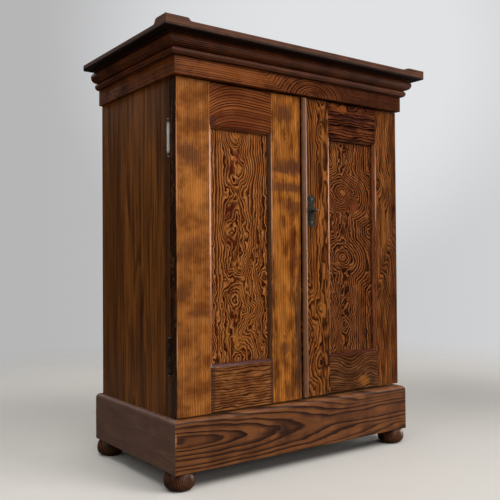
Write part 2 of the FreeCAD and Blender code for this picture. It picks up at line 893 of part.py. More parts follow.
doors = {}
for name in HANDS:
    door = Door(name)
    doors[name] = door
    hinge_piece = door.piece("hinge_stile")
    pad(hinge_piece, "XZ", door_depth, door.outline([
        (door.hinge_edge, 0),
        (door.hinge_shoulder, 0),
        (door.hinge_shoulder, door.low_shoulder),
        (door.opening[0], door.rise[0]),
        (door.opening[0], door.rise[1]),
        (door.hinge_shoulder, door.high_shoulder),
        (door.hinge_shoulder, door.height),
        (door.hinge_edge, door.height),
    ]))
    stile_moulding(hinge_piece, door, door.opening[0], -1)
    cut_panel_groove(hinge_piece, door)
    mortise = s.tenon_length + s.tenon_clearance
    cut_mortises(hinge_piece, door, door.hinge_shoulder - mortise, door.hinge_shoulder)

    meeting_piece = door.piece("meeting_stile")
    pad(meeting_piece, "XZ", door_depth, door.outline([
        (door.meeting_shoulder, 0),
        (door.free_edge, 0),
        (door.free_edge, door.height),
        (door.meeting_shoulder, door.height),
        (door.meeting_shoulder, door.high_shoulder),
        (door.opening[1], door.rise[1]),
        (door.opening[1], door.rise[0]),
        (door.meeting_shoulder, door.low_shoulder),
    ]))
    stile_moulding(meeting_piece, door, door.opening[1], 1)
    cut_panel_groove(meeting_piece, door)
    cut_mortises(meeting_piece, door, door.meeting_shoulder, door.meeting_shoulder + mortise)
    door.hinge_piece = hinge_piece
    door.meeting_piece = meeting_piece

    tenons = (door.hinge_shoulder - s.tenon_length, door.meeting_shoulder + s.tenon_length)
    rails = {
        "bottom_rail": (0, door.low_shoulder, door.rise[0], -1),
        "top_rail": (door.height, door.high_shoulder, door.rise[1], 1),
    }
    for (part, (outer, shoulder, lip, away)), tenon in zip(rails.items(), tenon_spans(door)):
        rail = door.piece(part)
        pad(rail, "XZ", door_depth, door.outline([
            (door.hinge_shoulder, outer),
            (door.meeting_shoulder, outer),
            (door.meeting_shoulder, shoulder),
            (door.opening[1], lip),
            (door.opening[0], lip),
            (door.hinge_shoulder, shoulder),
        ]))
        rail_moulding(rail, door, lip, away)
        cut_panel_groove(rail, door)
        add_box(rail, door.span(*tenons), groove_depth, tenon)

    panel = door.piece("panel")
    lap = s.panel_groove_depth
    pad(panel, "XZ", groove_depth, rectangle(
        door.span(door.opening[0] - lap, door.opening[1] + lap),
        (door.rise[0] - lap, door.rise[1] + lap)))

# ---------------------------------------------------------------------------
# Butt hinges: five-knuckle barrels, three knuckles on the carcass leaf and two on
# the door leaf, let in flush and screwed, with a headed pin
# ---------------------------------------------------------------------------

KNUCKLES = 5


def hinge_leaf(hand, axis_x, centre, plate_depth, own_knuckles):
    """One leaf: its plate, its knuckles, the webs between them, pierced for screws."""
    bottom = centre - s.hinge_length / 2
    knuckle = s.hinge_length / KNUCKLES
    plate = mirrored(hand, axis_x - s.hinge_axis_offset - s.leaf_width, axis_x - plate_start)
    web = mirrored(hand, axis_x - plate_start, axis_x)
    shapes = [block(plate, plate_depth, (bottom, bottom + s.hinge_length))]
    for index in own_knuckles:
        span = (bottom + index * knuckle + s.knuckle_gap / 2,
                bottom + (index + 1) * knuckle - s.knuckle_gap / 2)
        shapes.append(block(web, plate_depth, span))
        shapes.append(rod(s.hinge_barrel_radius, "Z", span, (hand * axis_x, hinge_axis_y)))
    tools = [rod(s.hinge_pin_radius + s.hinge_pin_clearance, "Z",
                 (bottom - PAST, bottom + s.hinge_length + PAST), (hand * axis_x, hinge_axis_y))]
    across = hand * (axis_x - screw_inset)
    for height in screw_heights(centre):
        tools.append(rod(s.screw_head_radius + s.screw_clearance, "Y",
                         (plate_depth[0] - PAST, plate_depth[1] + PAST), (across, height)))
    return pierced(joined(shapes), tools)


def hinge_screw(across, height, face, sign):
    """A countersunk screw whose head is flush with a leaf; sign points into the wood."""
    shapes = []
    for radius, length in ((s.screw_head_radius, s.leaf_thickness), (s.screw_radius, s.screw_length)):
        span = (face, face + length) if sign > 0 else (face - length, face)
        shapes.append(rod(radius, "Y", span, (across, height)))
    return shapes


frame_leaves = []
frame_screws = []
pins = []
for name, hand in HANDS.items():
    for centre in hinge_centres(name):
        frame_leaves.append(hinge_leaf(
            hand, hinge_axis, centre, (as_size(0), s.leaf_thickness), (0, 2, 4)))
        across = hand * (hinge_axis - screw_inset)
        for height in screw_heights(centre):
            frame_screws += hinge_screw(across, height, as_size(0), 1)
        half = s.hinge_length / 2
        axis = (hand * hinge_axis, hinge_axis_y)
        pins.append(rod(s.hinge_pin_radius, "Z", (centre - half, centre + half), axis))
        for end, sign in ((centre - half, -1), (centre + half, 1)):
            head = sorted([end, end + sign * s.hinge_pin_head_height], key=lambda size: size.value)
            pins.append(rod(s.hinge_pin_head_radius, "Z", head, axis))
node("hinge_frame_leaves", joined(frame_leaves), CARCASS)
node("hinge_frame_screws", joined(frame_screws), CARCASS)
node("hinge_pins", joined(pins), CARCASS)

leaf_back = door_back - s.leaf_thickness
for name, door in doors.items():
    hand = HANDS[name]
    door_leaves = []
    door_screws = []
    for centre in hinge_centres(name):
        height = centre - door_bottom[name]
        door_leaves.append(hinge_leaf(hand, as_size(0), height, (leaf_back, door_back), (1, 3)))
        hinge_recess(door.hinge_piece, hand, as_size(0), height, (leaf_back, door_back + PAST))
        pilot = (door_back - s.screw_length - s.screw_clearance, leaf_back + PAST)
        screw_pilots(door.hinge_piece, -hand * screw_inset, height, pilot)
        for screw_height in screw_heights(height):
            door_screws += hinge_screw(-hand * screw_inset, screw_height, door_back, -1)
    node(f"{name}_door_hinge_leaves", joined(door_leaves), door.origin)
    node(f"{name}_door_hinge_screws", joined(door_screws), door.origin)

# ---------------------------------------------------------------------------
# Lock side of the right door: meeting bead, escutcheon, rim lock, bolt and key
# ---------------------------------------------------------------------------

right = doors["right"]
left = doors["left"]
edge_x = -right.free_edge
bead_width = s.meeting_bead_width
bead_curve = bulge_radius(s.meeting_bead_height, bead_width / 2)
bead_centre = (edge_x + bead_width / 2, door_face - s.meeting_bead_height + bead_curve)
body = piece("meeting_bead", right.origin)
pad(body, "XY", (as_size(0), right.height), [
    (edge_x, door_face, bead_centre, 1),
    (edge_x + bead_width, door_face),
])

key_x = edge_x + s.keyhole_from_edge
key_z = s.lock_height - door_bottom["right"]
plate_face = door_face - s.escutcheon_thickness
through_stile = (door_face - PAST, door_back + PAST)
slot = (key_x - s.keyhole_slot_width / 2, key_x + s.keyhole_slot_width / 2)
slot_drop = (key_z - s.keyhole_slot_depth, key_z)
cut_rod(right.meeting_piece, s.keyhole_radius, "Y", through_stile, (key_x, key_z))
cut_box(right.meeting_piece, slot, through_stile, slot_drop)
pin_heights = [key_z - s.escutcheon_pin_pitch, key_z + s.escutcheon_pin_pitch]
pin_tip = plate_face + s.escutcheon_pin_length
for height in pin_heights:
    cut_rod(right.meeting_piece, s.escutcheon_pin_radius + s.screw_clearance, "Y",
            (door_face - PAST, pin_tip + s.screw_clearance), (key_x, height))

plate_depth = (plate_face, door_face)
collar_face = plate_face - s.escutcheon_collar_height
half_bar = s.escutcheon_bar_width / 2
lobe_reach = s.escutcheon_pin_pitch + s.escutcheon_lobe_radius
plate = [
    rod(s.escutcheon_disc_radius, "Y", plate_depth, (key_x, key_z)),
    rod(s.escutcheon_collar_radius, "Y", (collar_face, door_face), (key_x, key_z)),
    block((key_x - half_bar, key_x + half_bar), plate_depth,
          (key_z - lobe_reach, key_z + lobe_reach)),
]
half_tip = s.escutcheon_tip_size / 2
for height, sign in zip(pin_heights, (-1, 1)):
    plate.append(rod(s.escutcheon_lobe_radius, "Y", plate_depth, (key_x, height)))
    tip = doc.addObject("Part::Prism", "Tip")
    tip.Polygon = 4
    bind(tip, Circumradius=s.escutcheon_tip_size, Height=s.escutcheon_thickness)
    tip.Placement = FreeCAD.Placement(FreeCAD.Vector(), FreeCAD.Rotation(AXES["Z"], AXES["Y"]))
    place(tip, key_x, plate_face, key_z + sign * lobe_reach)
    plate.append(tip)
through_plate = (collar_face - PAST, door_face + PAST)
plate_holes = [
    rod(s.keyhole_radius, "Y", through_plate, (key_x, key_z)),
    block(slot, through_plate, slot_drop),
]
for height in pin_heights:
    plate_holes.append(rod(s.escutcheon_pin_radius + s.screw_clearance, "Y", through_plate,
                           (key_x, height)))
node("escutcheon", pierced(joined(plate), plate_holes), right.origin)

escutcheon_pins = []
for height in pin_heights:
    escutcheon_pins.append(rod(s.escutcheon_pin_radius, "Y", (plate_face, pin_tip), (key_x, height)))
    escutcheon_pins.append(rod(
        s.escutcheon_pin_head_radius, "Y",
        (plate_face - s.escutcheon_pin_head_height, plate_face), (key_x, height)))
node("escutcheon_pins", joined(escutcheon_pins), right.origin)

case_x = (edge_x + s.lock_setback, edge_x + s.lock_setback + s.lock_case_length)
case_y = (door_back, door_back + s.lock_case_depth)
case_z = (key_z - s.lock_case_height / 2, key_z + s.lock_case_height / 2)
pocket_z = (case_z[0] + s.lock_wall, case_z[1] - s.lock_wall)
bolt_y = (door_back + s.lock_bolt_clearance, door_back + s.lock_bolt_clearance + s.lock_bolt_thickness)
bolt_z = (key_z + s.key_bit_reach + 2 * s.lock_bolt_clearance, pocket_z[1] - s.lock_bolt_clearance)
gap = s.lock_bolt_clearance
body = piece("lock_case", right.origin)
pad(body, "XZ", case_y, rectangle(case_x, case_z))
cut_box(body, (case_x[0] + s.lock_wall, case_x[1] - s.lock_wall),
        (case_y[0] - PAST, case_y[1] - s.lock_wall), pocket_z)
cut_box(body, (case_x[0] - PAST, case_x[0] + s.lock_wall + PAST),
        (case_y[0] - PAST, bolt_y[1] + gap), (bolt_z[0] - gap, bolt_z[1] + gap))
cut_rod(body, s.key_shank_radius + s.key_clearance, "Y",
        (case_y[0], case_y[1] + PAST), (key_x, key_z))

body = piece("lock_bolt", right.origin)
pad(body, "XZ", bolt_y, rectangle((case_x[0], case_x[0] + s.lock_bolt_length), bolt_z))

bow_centre = collar_face - s.key_projection
shank = (bow_centre + s.key_bow_radius, case_y[1])
bow = doc.addObject("Part::Torus", "Bow")
bind(bow, Radius1=s.key_bow_radius, Radius2=s.key_bow_wire)
place(bow, key_x, bow_centre, key_z)
bit_y = (door_back + gap, case_y[1] - s.lock_wall - gap)
half_bit = s.key_bit_thickness / 2
node("key", joined([
    bow,
    rod(s.key_shank_radius, "Y", shank, (key_x, key_z)),
    block((key_x - s.key_bit_reach, key_x), (bit_y[0], bit_y[0] + s.key_bit_width),
          (key_z - half_bit, key_z + half_bit)),
]), right.origin)

# The keeper on the left door's back takes the nose of the thrown bolt.
keeper_z = (bolt_z[0] + door_bottom["right"] - door_bottom["left"],
            bolt_z[1] + door_bottom["right"] - door_bottom["left"])
wall = s.keeper_wall
keeper_x = (left.free_edge - s.keeper_length, left.free_edge)
body = piece("lock_keeper", left.origin)
pad(body, "XZ", (door_back, bolt_y[1] + gap + wall), rectangle(
    keeper_x, (keeper_z[0] - gap - wall, keeper_z[1] + gap + wall)))
cut_box(body, (keeper_x[0] + wall, keeper_x[1] + PAST), (door_back - PAST, bolt_y[1] + gap),
        (keeper_z[0] - gap, keeper_z[1] + gap))

# ---------------------------------------------------------------------------
# Slide bolts that hold the left door: rods in guide plates, keeps on the decks
# ---------------------------------------------------------------------------

rod_across = left.free_edge - s.rod_from_edge
deck_lines = {
    "lower": (s.deck_thickness - door_bottom["left"], 1),
    "upper": (s.carcass_height - s.deck_thickness - door_bottom["left"], -1),
}
guides = []
keeps = []
keep_holes = []
for name, (deck, sign) in deck_lines.items():
    tip = deck + sign * (s.keep_thickness + s.rod_tip_gap)
    tail = tip + sign * s.rod_length
    low, high = (tip, tail) if sign > 0 else (tail, tip)
    middle = (tip + tail) / 2
    knob = rod(s.rod_knob_radius, "Y", (rod_y, rod_y + s.rod_knob_length), (rod_across, middle))
    slide = rod(s.rod_radius, "Z", (low, high), (rod_across, rod_y))
    node(f"slide_bolt_{name}", joined([slide, knob]), left.origin)

    half_plate = s.guide_plate_length / 2
    half_width_plate = s.guide_plate_width / 2
    half_guide = s.guide_width / 2
    plate_top = door_back + s.guide_plate_thickness
    shapes = [block((rod_across - half_width_plate, rod_across + half_width_plate),
                    (door_back, plate_top), (middle - half_plate, middle + half_plate))]
    for start in (middle - half_plate, middle + half_plate - s.guide_length):
        shapes.append(block((rod_across - half_guide, rod_across + half_guide),
                            (door_back, rod_y + s.rod_radius + s.guide_cover),
                            (start, start + s.guide_length)))
    bore = rod(s.rod_radius + s.rod_clearance, "Z",
               (middle - half_plate - PAST, middle + half_plate + PAST), (rod_across, rod_y))
    guides.append(pierced(joined(shapes), [bore]))

    deck_z = deck + door_bottom["left"]
    keep_z = (deck_z, deck_z + s.keep_thickness) if sign > 0 else (deck_z - s.keep_thickness, deck_z)
    half_keep = s.keep_width / 2
    keeps.append(block((rod_x - half_keep, rod_x + half_keep), (as_size(0), s.keep_depth), keep_z))
    keep_holes.append(block(*keep_hole, (keep_z[0] - PAST, keep_z[1] + PAST)))
node("bolt_guides", joined(guides), left.origin)
node("bolt_keeps", pierced(joined(keeps), keep_holes), CARCASS)

# ---------------------------------------------------------------------------
# Check every object, then write one file for each node
# ---------------------------------------------------------------------------

doc.recompute()
for thing in doc.Objects:
    if "Invalid" in thing.State or "Error" in thing.State:
        raise RuntimeError(f"{thing.Label} did not compute: {thing.State}")
labels = [thing.Label for thing in nodes]
if len(set(labels)) != len(labels):
    raise RuntimeError("two nodes share a label")
for thing in nodes:
    if thing.Shape.isNull() or not thing.Shape.isValid() or not thing.Shape.Solids:
        raise RuntimeError(f"{thing.Label} has no valid shape")

os.makedirs("parts", exist_ok=True)
for thing in nodes:
    thing.Shape.exportStep(f"parts/{thing.Label}.step")
print(len(nodes), "nodes written")
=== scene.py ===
import json
import math

import bmesh
import bpy
from mathutils import Matrix, Vector
from mathutils.bvhtree import BVHTree


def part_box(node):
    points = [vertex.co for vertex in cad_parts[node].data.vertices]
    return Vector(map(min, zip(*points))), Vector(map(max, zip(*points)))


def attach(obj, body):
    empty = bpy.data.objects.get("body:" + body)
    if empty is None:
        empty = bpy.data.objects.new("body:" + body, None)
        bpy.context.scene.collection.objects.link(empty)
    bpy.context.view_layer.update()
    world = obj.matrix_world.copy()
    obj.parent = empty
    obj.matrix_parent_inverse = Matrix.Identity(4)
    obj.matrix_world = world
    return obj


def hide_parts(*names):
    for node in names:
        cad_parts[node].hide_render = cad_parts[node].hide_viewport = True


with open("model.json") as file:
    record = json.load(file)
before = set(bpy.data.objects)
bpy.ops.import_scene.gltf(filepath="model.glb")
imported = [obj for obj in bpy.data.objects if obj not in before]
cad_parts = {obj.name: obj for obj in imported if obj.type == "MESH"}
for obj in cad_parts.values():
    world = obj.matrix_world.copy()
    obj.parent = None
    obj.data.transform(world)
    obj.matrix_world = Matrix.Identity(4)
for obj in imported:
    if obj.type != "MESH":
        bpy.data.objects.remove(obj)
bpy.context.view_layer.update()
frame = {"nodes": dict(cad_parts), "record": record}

# The camera stands left of the cupboard at about half its height and looks a little up at it,
# so that the doors, the left side and the underside of the cornice show together.
camera_place = (-1.037, -1.4034, 0.4647)
camera_turn = math.radians(35.86)
camera_rise = math.radians(0.94)
camera_tilt = math.radians(-0.39)
sensor_width = 36
lens_in_sensor_widths = 1.39916
camera = bpy.data.objects.new("camera", bpy.data.cameras.new("camera"))
bpy.context.scene.collection.objects.link(camera)
bpy.context.scene.camera = camera
camera.data.sensor_width = sensor_width
camera.data.lens = lens_in_sensor_widths * sensor_width
camera.matrix_world = Matrix.Translation(camera_place) @ (
    Matrix.Rotation(-camera_turn, 4, "Z")
    @ Matrix.Rotation(math.pi / 2 + camera_rise, 4, "X")
    @ Matrix.Rotation(camera_tilt, 4, "Z")
)
bpy.context.scene.view_settings.view_transform = "Standard"


# The room: a pale floor that runs back into a pale wall, brightest high up behind the cupboard.
# Daylight from high on the right lights the doors, and weaker lamps keep the shaded left side and
# the back from going black.
class Reading:
    """A number or colour that a node gives out. Arithmetic on it adds Math nodes."""

    def __init__(self, wiring, socket):
        self.wiring, self.socket = wiring, socket

    def __add__(self, other):
        return self.wiring.sums("ADD", self, other)

    def __sub__(self, other):
        return self.wiring.sums("SUBTRACT", self, other)

    def __rsub__(self, other):
        return self.wiring.sums("SUBTRACT", other, self)

    def __mul__(self, other):
        return self.wiring.sums("MULTIPLY", self, other)

    __radd__, __rmul__ = __add__, __mul__


class Wiring:
    """The nodes of one material, or of the world."""

    def __init__(self, owner):
        owner.use_nodes = True
        self.tree = owner.node_tree
        self.tree.nodes.clear()

    def add(self, kind, settings=(), sockets=(), give=0):
        """Adds a node: its settings first, then its sockets' values or links. Gives an output."""
        node = self.tree.nodes.new("ShaderNode" + kind)
        for name, value in dict(settings).items():
            setattr(node, name, value)
        for name, value in dict(sockets).items():
            if isinstance(value, Reading):
                self.tree.links.new(value.socket, node.inputs[name])
            else:
                node.inputs[name].default_value = value
        if isinstance(give, tuple):
            return [Reading(self, node.outputs[name]) for name in give]
        return Reading(self, node.outputs[give]) if len(node.outputs) else node

    def sums(self, operation, *numbers):
        return self.add("Math", {"operation": operation}, dict(enumerate(numbers)))

    def vectors(self, operation, *vectors, give=0):
        return self.add("VectorMath", {"operation": operation}, dict(enumerate(vectors)), give)

    def ease(self, number, start, end):
        """0 before start and 1 after end, with a soft turn at both."""
        values = {"Value": number, "From Min": start, "From Max": end}
        return self.add("MapRange", {"interpolation_type": "SMOOTHSTEP"}, values)

    def blend(self, share, first, second, how="MIX"):
        """The first colour, with so much of the second mixed in or laid over it."""
        settings = {"data_type": "RGBA", "blend_type": how, "clamp_factor": True}
        return self.add("Mix", settings, {0: share, 6: first, 7: second}, 2)


def colour(red, green, blue):
    """A colour given as it looks on screen, 0 to 255, as the renderer wants it."""
    shares = [number / 255 for number in (red, green, blue)]
    return (*[(s / 12.92 if s < 0.04 else ((s + 0.055) / 1.055) ** 2.4) for s in shares], 1)


wall_dim, wall_bright = colour(182, 182, 183), colour(225, 226, 228)
bright_patch = Vector((0.62, 0.74, 0.28)).normalized()
bright_patch_edge, bright_patch_middle, bright_patch_gain = 0.94, 1.0, 0.7
far_corner = Vector((0.81, -0.58, 0))
far_corner_gain, brightness_everywhere = 0.9, 0.25
light_of_the_shade = 0.30
room_in_reflections = 0.03

world = bpy.data.worlds.new("wall")
bpy.context.scene.world = world
room = Wiring(world)
looking = room.add("TexCoord", give="Generated")
towards_patch = room.vectors("DOT_PRODUCT", looking, bright_patch, give="Value")
to_the_right = room.vectors("DOT_PRODUCT", looking, far_corner, give="Value")
wall_share = (
    room.ease(towards_patch, bright_patch_edge, bright_patch_middle) * bright_patch_gain
    + to_the_right * far_corner_gain
    + brightness_everywhere
)
wall_colour = room.blend(wall_share, wall_dim, wall_bright)
seen, glossy, passing = room.add(
    "LightPath", give=("Is Camera Ray", "Is Glossy Ray", "Is Transmission Ray")
)
reflected = glossy + passing
strength = seen + reflected * room_in_reflections + (1 - seen - reflected) * light_of_the_shade
wall = room.add("Background", {}, {"Color": wall_colour, "Strength": strength})
room.add("OutputWorld", {}, {0: wall})

floor_width = 9.0
floor_fade_start, floor_fade_end = 1.1, 2.6
floor_pale, floor_under_shade = colour(186, 183, 178), colour(112, 106, 98)
floor_scuffs, scuff_share = colour(150, 143, 134), 0.25
noise_middle = 0.5
# Painted light and shade on the floor, seen by the camera only: a paler patch where the
# cupboard's shadow falls on its left, and darker patches towards the low window, where its light
# pools.
floor_painted_light_and_shade = (
    ((-0.42, 0.22, 0), (0.20, 0.28, 1), colour(208, 204, 197)),
    ((1.0, 0.05, 0), (0.5, 0.6, 1), colour(154, 152, 149)),
    ((2.6, -0.5, 0), (1.2, 1.0, 1), colour(130, 128, 125)),
)
shape = bmesh.new()
bmesh.ops.create_circle(shape, cap_ends=True, segments=64, radius=floor_width / 2)
floor_mesh = bpy.data.meshes.new("floor")
shape.to_mesh(floor_mesh)
floor = bpy.data.objects.new("floor", floor_mesh)
bpy.context.scene.collection.objects.link(floor)
floor_paint = bpy.data.materials.new("floor")
floor_mesh.materials.append(floor_paint)
paint = Wiring(floor_paint)
spot = paint.add("TexCoord", give="Object")
distance = paint.vectors("LENGTH", spot, give="Value")
scuffs = paint.add("TexNoise", {}, {"Vector": spot, "Scale": 9, "Detail": 5, "Roughness": 0.6})
seen = paint.add("LightPath", give="Is Camera Ray")
floor_colour = floor_pale
for place, reach, tint in floor_painted_light_and_shade:
    values = {"Vector": spot, "Location": place, "Scale": reach}
    offset = paint.add("Mapping", {"vector_type": "TEXTURE"}, values)
    away = paint.vectors("LENGTH", offset, give="Value")
    floor_colour = paint.blend(paint.sums("EXPONENT", away * away * -1), floor_colour, tint)
floor_colour = paint.blend(seen, floor_under_shade, floor_colour)
floor_colour = paint.blend((scuffs - noise_middle) * scuff_share, floor_colour, floor_scuffs)
values = {"Base Color": floor_colour, "Roughness": 0.55, "Specular IOR Level": 0.2}
surface = paint.add("BsdfPrincipled", {}, values)
fade = paint.ease(distance, floor_fade_start, floor_fade_end)
clear = paint.add("BsdfTransparent")
paint.add("OutputMaterial", {}, {0: paint.add("MixShader", {}, {0: fade, 1: surface, 2: clear})})

cupboard_middle = Vector((0, -0.1, 0.5))
daylight, white = (1.0, 0.97, 0.94), (1, 1, 1)


def lamp(name, place, size, power, tint=white):
    """A soft square lamp at place, turned to the cupboard."""
    light = bpy.data.lights.new(name, "AREA")
    light.size, light.energy, light.color = size, power, tint
    holder = bpy.data.objects.new(name, light)
    bpy.context.scene.collection.objects.link(holder)
    holder.location = place
    holder.rotation_euler = (cupboard_middle - Vector(place)).to_track_quat("-Z", "Y").to_euler()


lamp("high_window", (1.7, -2.9, 3.6), size=2.0, power=165, tint=daylight)
lamp("low_window", (3.8, -0.45, 0.9), size=1.7, power=110, tint=daylight)
lamp("ceiling_light", (-0.6, -0.7, 3.2), size=2.4, power=60)
lamp("front_fill", (0.1, -3.3, 1.1), size=1.0, power=24)
lamp("left_fill", (-2.6, -0.4, 1.8), size=1.8, power=16)
lamp("back_window", (-0.4, 3.2, 2.8), size=2.0, power=40)


# Plinth: three wide boards of pitch pine, mitred at the front corners, on which the carcass
# stands. Every board here is finished alike: planed, its corners eased by hand, stained a dark
# brown and rubbed with shellac, so its growth rings show as dark lines on a warm ground.
body_of = {
    node: body for body, nodes in frame["record"]["behaviour"]["bodies"].items() for node in nodes
}
slot_of = {row["node"]: row["material_slot"] for row in frame["record"]["subparts"]}
same_place, nearly_flat = 1e-6, math.radians(0.5)
joint_gap = 0.0003
places_along_an_edge = (0.2, 0.5, 0.8)
surfaces = {
    node: BVHTree.FromPolygons(
        [corner.co for corner in holder.data.vertices],
        [face.vertices for face in holder.data.polygons],
    )
    for node, holder in frame["nodes"].items()
}


def meets_another(edge, node):
    """Whether another piece lies against the edge for its whole length."""
    start, end = (corner.co for corner in edge.verts)
    return all(
        any(
            surfaces[other].find_nearest(start.lerp(end, share), joint_gap)[0]
            for other in surfaces if other != node
        )
        for share in places_along_an_edge
    )


def eased(node, ease, tight=0.08, steps=3, least_turn=math.radians(28)):
    """A board as the frame has it, with its free corners rounded off and its joints tight.

    Ease is the width of the rounding, and tight its share at a joint. An edge that turns less
    than the least turn stays a smooth curve.
    """
    mesh = frame["nodes"][node].data.copy()
    mesh.materials.clear()
    shape = bmesh.new()
    shape.from_mesh(mesh)
    bmesh.ops.remove_doubles(shape, verts=shape.verts, dist=same_place)
    bmesh.ops.dissolve_limit(
        shape, angle_limit=nearly_flat, verts=shape.verts, edges=shape.edges
    )
    rounding = shape.edges.layers.float.new("bevel_weight_edge")
    for edge in shape.edges:
        turn = edge.calc_face_angle_signed(0)
        if turn > least_turn:
            edge[rounding] = tight if meets_another(edge, node) else 1
        edge.smooth = turn > -least_turn
    for face in shape.faces:
        face.smooth = True
    shape.to_mesh(mesh)
    piece = bpy.data.objects.new(node + "_eased", mesh)
    bpy.context.scene.collection.objects.link(piece)
    bevel = piece.modifiers.new("eased_corners", "BEVEL")
    bevel.width, bevel.segments, bevel.limit_method = ease, steps, "WEIGHT"
    piece.modifiers.new("flat_faces", "WEIGHTED_NORMAL").keep_sharp = True
    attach(piece, body_of[node])
    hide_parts(node)
    return piece


endless = 1000
seed_steps = (7.1, 3.3, 5.7)
year_step, year_unevenness, knot_softness = 0.7, 0.9, 0.7


class Board(Wiring):
    """The finish of one board. Along is the axis of its grain, through the axis of its knots."""

    def __init__(self, node, along, through="y", seed=0):
        self.material = bpy.data.materials.new(node)
        super().__init__(self.material)
        self.along, self.through, self.seed = "xyz".index(along), "xyz".index(through), seed
        self.across = 3 - self.along - self.through
        self.spot = self.add("TexCoord", give="Object")
        self.low, self.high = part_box(node)

    def cloud(self, across, length, detail, seed):
        """Soft clouds from about -0.5 to 0.5, so wide across the grain and so long with it."""
        scale = [1 / across] * 3
        scale[self.along] = 1 / length
        seeds = (self.seed + seed, seed, self.seed)
        shift = [step * number for step, number in zip(seed_steps, seeds)]
        place = self.vectors("MULTIPLY_ADD", self.spot, scale, shift)
        values = {"Vector": place, "Scale": 1, "Detail": detail, "Roughness": 0.5}
        return self.add("TexNoise", {}, values) - noise_middle

    def away(self, u, v, wide, tall, turn=0, spot=None):
        """Distance from a place on the board's face, counted in wide and tall. A turn, in
        degrees, tips the top of the shape to the right."""
        centre, size, tip = [u, v], [wide, tall], [0, 0, 0]
        centre.insert(self.through, 0)
        size.insert(self.through, endless)
        tip[self.through] = math.radians(turn)
        values = {"Vector": spot or self.spot, "Location": centre, "Rotation": tip, "Scale": size}
        offset = self.add("Mapping", {"vector_type": "TEXTURE"}, values)
        return self.vectors("LENGTH", offset, give="Value")

    def near(self, *place):
        """1 at a place on the board's face, falling softly to 0 round it."""
        distance = self.away(*place)
        return self.sums("EXPONENT", distance * distance * -1)

    def grow(self, heart, ring, waves=(), ripple=None, knots=(), swells=(), calm=(), bow=None):
        """Counts the growth rings, each so wide, outwards from the heart of the log.

        Waves (width, length, rings) and swells (a place, rings) bend them, a ripple (width,
        length, swing) shakes them sideways, and both rest at the calm places. A knot (a place,
        its rings) keeps rings of its own, and the others flow round it; with fewer than none it
        is a hollow. A bow (middle, before, after) curves them along the board.
        """
        stir = 1
        for place in calm:
            stir = stir * (1 - self.near(*place))
        spot = self.spot
        if ripple:
            wide, length, swing = ripple
            sideways = [0, 0, 0]
            sideways[self.across] = 2 * swing
            shake = self.cloud(wide, length, detail=1.0, seed=5) * stir
            spot = self.vectors("MULTIPLY_ADD", shake, sideways, spot)
        across = [axis for axis in range(3) if axis != self.along]
        scale, shift = [0, 0, 0], [0, 0, 0]
        for axis, centre in zip(across, heart):
            scale[axis], shift[axis] = 1 / ring, -centre / ring
        from_heart = self.vectors("MULTIPLY_ADD", spot, scale, shift)
        rings = self.vectors("LENGTH", from_heart, give="Value")
        if bow:
            middle, before, after = bow
            off = self.add("SeparateXYZ", {}, {0: self.spot}, self.along) - middle
            left, right = self.sums("MINIMUM", off, 0), self.sums("MAXIMUM", off, 0)
            rings = rings + left * left * (before / ring) + right * right * (after / ring)
        for *place, height in swells:
            rings = rings + self.near(*place) * height
        for u, v, wide, tall, turn, own in knots:
            place = [u, v]
            place.insert(self.through, self.low[self.through])
            level = math.hypot(*[place[axis] - c for axis, c in zip(across, heart)]) / ring
            cone = self.away(u, v, wide, tall, turn, spot) * own + (level - own)
            join = "SMOOTH_MIN" if own > 0 else "SMOOTH_MAX"
            rings = self.sums(join, rings, cone, knot_softness)
        for number, (wide, length, height) in enumerate(waves):
            wave = self.cloud(wide, length, detail=1.5, seed=number + 1)
            rings = rings + wave * stir * (2 * height)
        self.rings = rings + self.by_year(rings, year_step) * year_unevenness
        return self

    def by_year(self, rings, step):
        """A number from 0 to 1 that drifts from one ring to the next."""
        return self.add("TexNoise", {"noise_dimensions": "1D"}, {"W": rings * step, "Scale": 1})

    def stain(self, light, deep, dark, contrast=0.9, late=0.5, fibre=0.3, flame=(0.05, 0.045),
              glow=0.25, mottle=1.0, stains_and_painted_light=()):
        """Colours the rings: a clouded ground that darkens to a thin hard line at each ring's
        end, with a paler line just past it.

        Late is the share of a ring that the darkening takes, flame the width and length of the
        ground's clouds, mottle their strength. Each stain and each patch of painted light is a
        place, its depth and its colour; the stains are tone in the wood, the rest painted shade
        and painted highlight on slopes and under overhangs.
        """
        line_start, line_full, line_end = 0.78 - late, 0.86, 0.90
        glow_start, glow_end = 0.04, 0.34
        year_drift, year_tint, haze_edge = 0.37, 0.3, 0.22
        patch_rim, patch_full, raggedness, line_lost_under_patch = 0.1, 0.8, 0.9, 0.5
        weakest_line, line_growth, broad_share = 0.6, 0.8, 0.8

        share = self.sums("FRACT", self.rings)
        ending = 1 - self.ease(share, line_end, 1.0)
        line = self.ease(share, line_start, line_full) * ending
        start = 1 - self.ease(share, glow_start, glow_end)
        year = self.by_year(self.rings, year_drift)
        streak = self.cloud(across=0.0012, length=0.030, detail=2.0, seed=11)
        broad = self.cloud(across=0.004, length=0.12, detail=1.0, seed=12)
        haze = self.cloud(*flame, detail=3.0, seed=13)
        tone = haze + year * year_tint - year_tint / 2
        ground = self.blend(self.ease(tone, -haze_edge, haze_edge) * mottle, deep, light)
        ragged = self.cloud(across=0.010, length=0.014, detail=3.0, seed=17) * raggedness
        drawn = 1
        for *place, depth, tint in stains_and_painted_light:
            spread = self.ease(self.near(*place) + ragged, patch_rim, patch_full) * depth
            ground = self.blend(spread, ground, tint)
            drawn = drawn * (1 - spread * line_lost_under_patch)
        weight = contrast * (weakest_line + year * line_growth)
        wood = self.blend(line * weight * drawn, ground, dark)
        wood = self.blend(start * glow * drawn, wood, light)
        shade = 1 + (streak + broad * broad_share) * (fibre * 2)
        shading = self.add("CombineXYZ", {}, {0: shade, 1: shade, 2: shade})
        self.wood = self.blend(1.0, wood, shading, "MULTIPLY")
        self.line, self.streak, self.haze = line, streak, haze
        return self

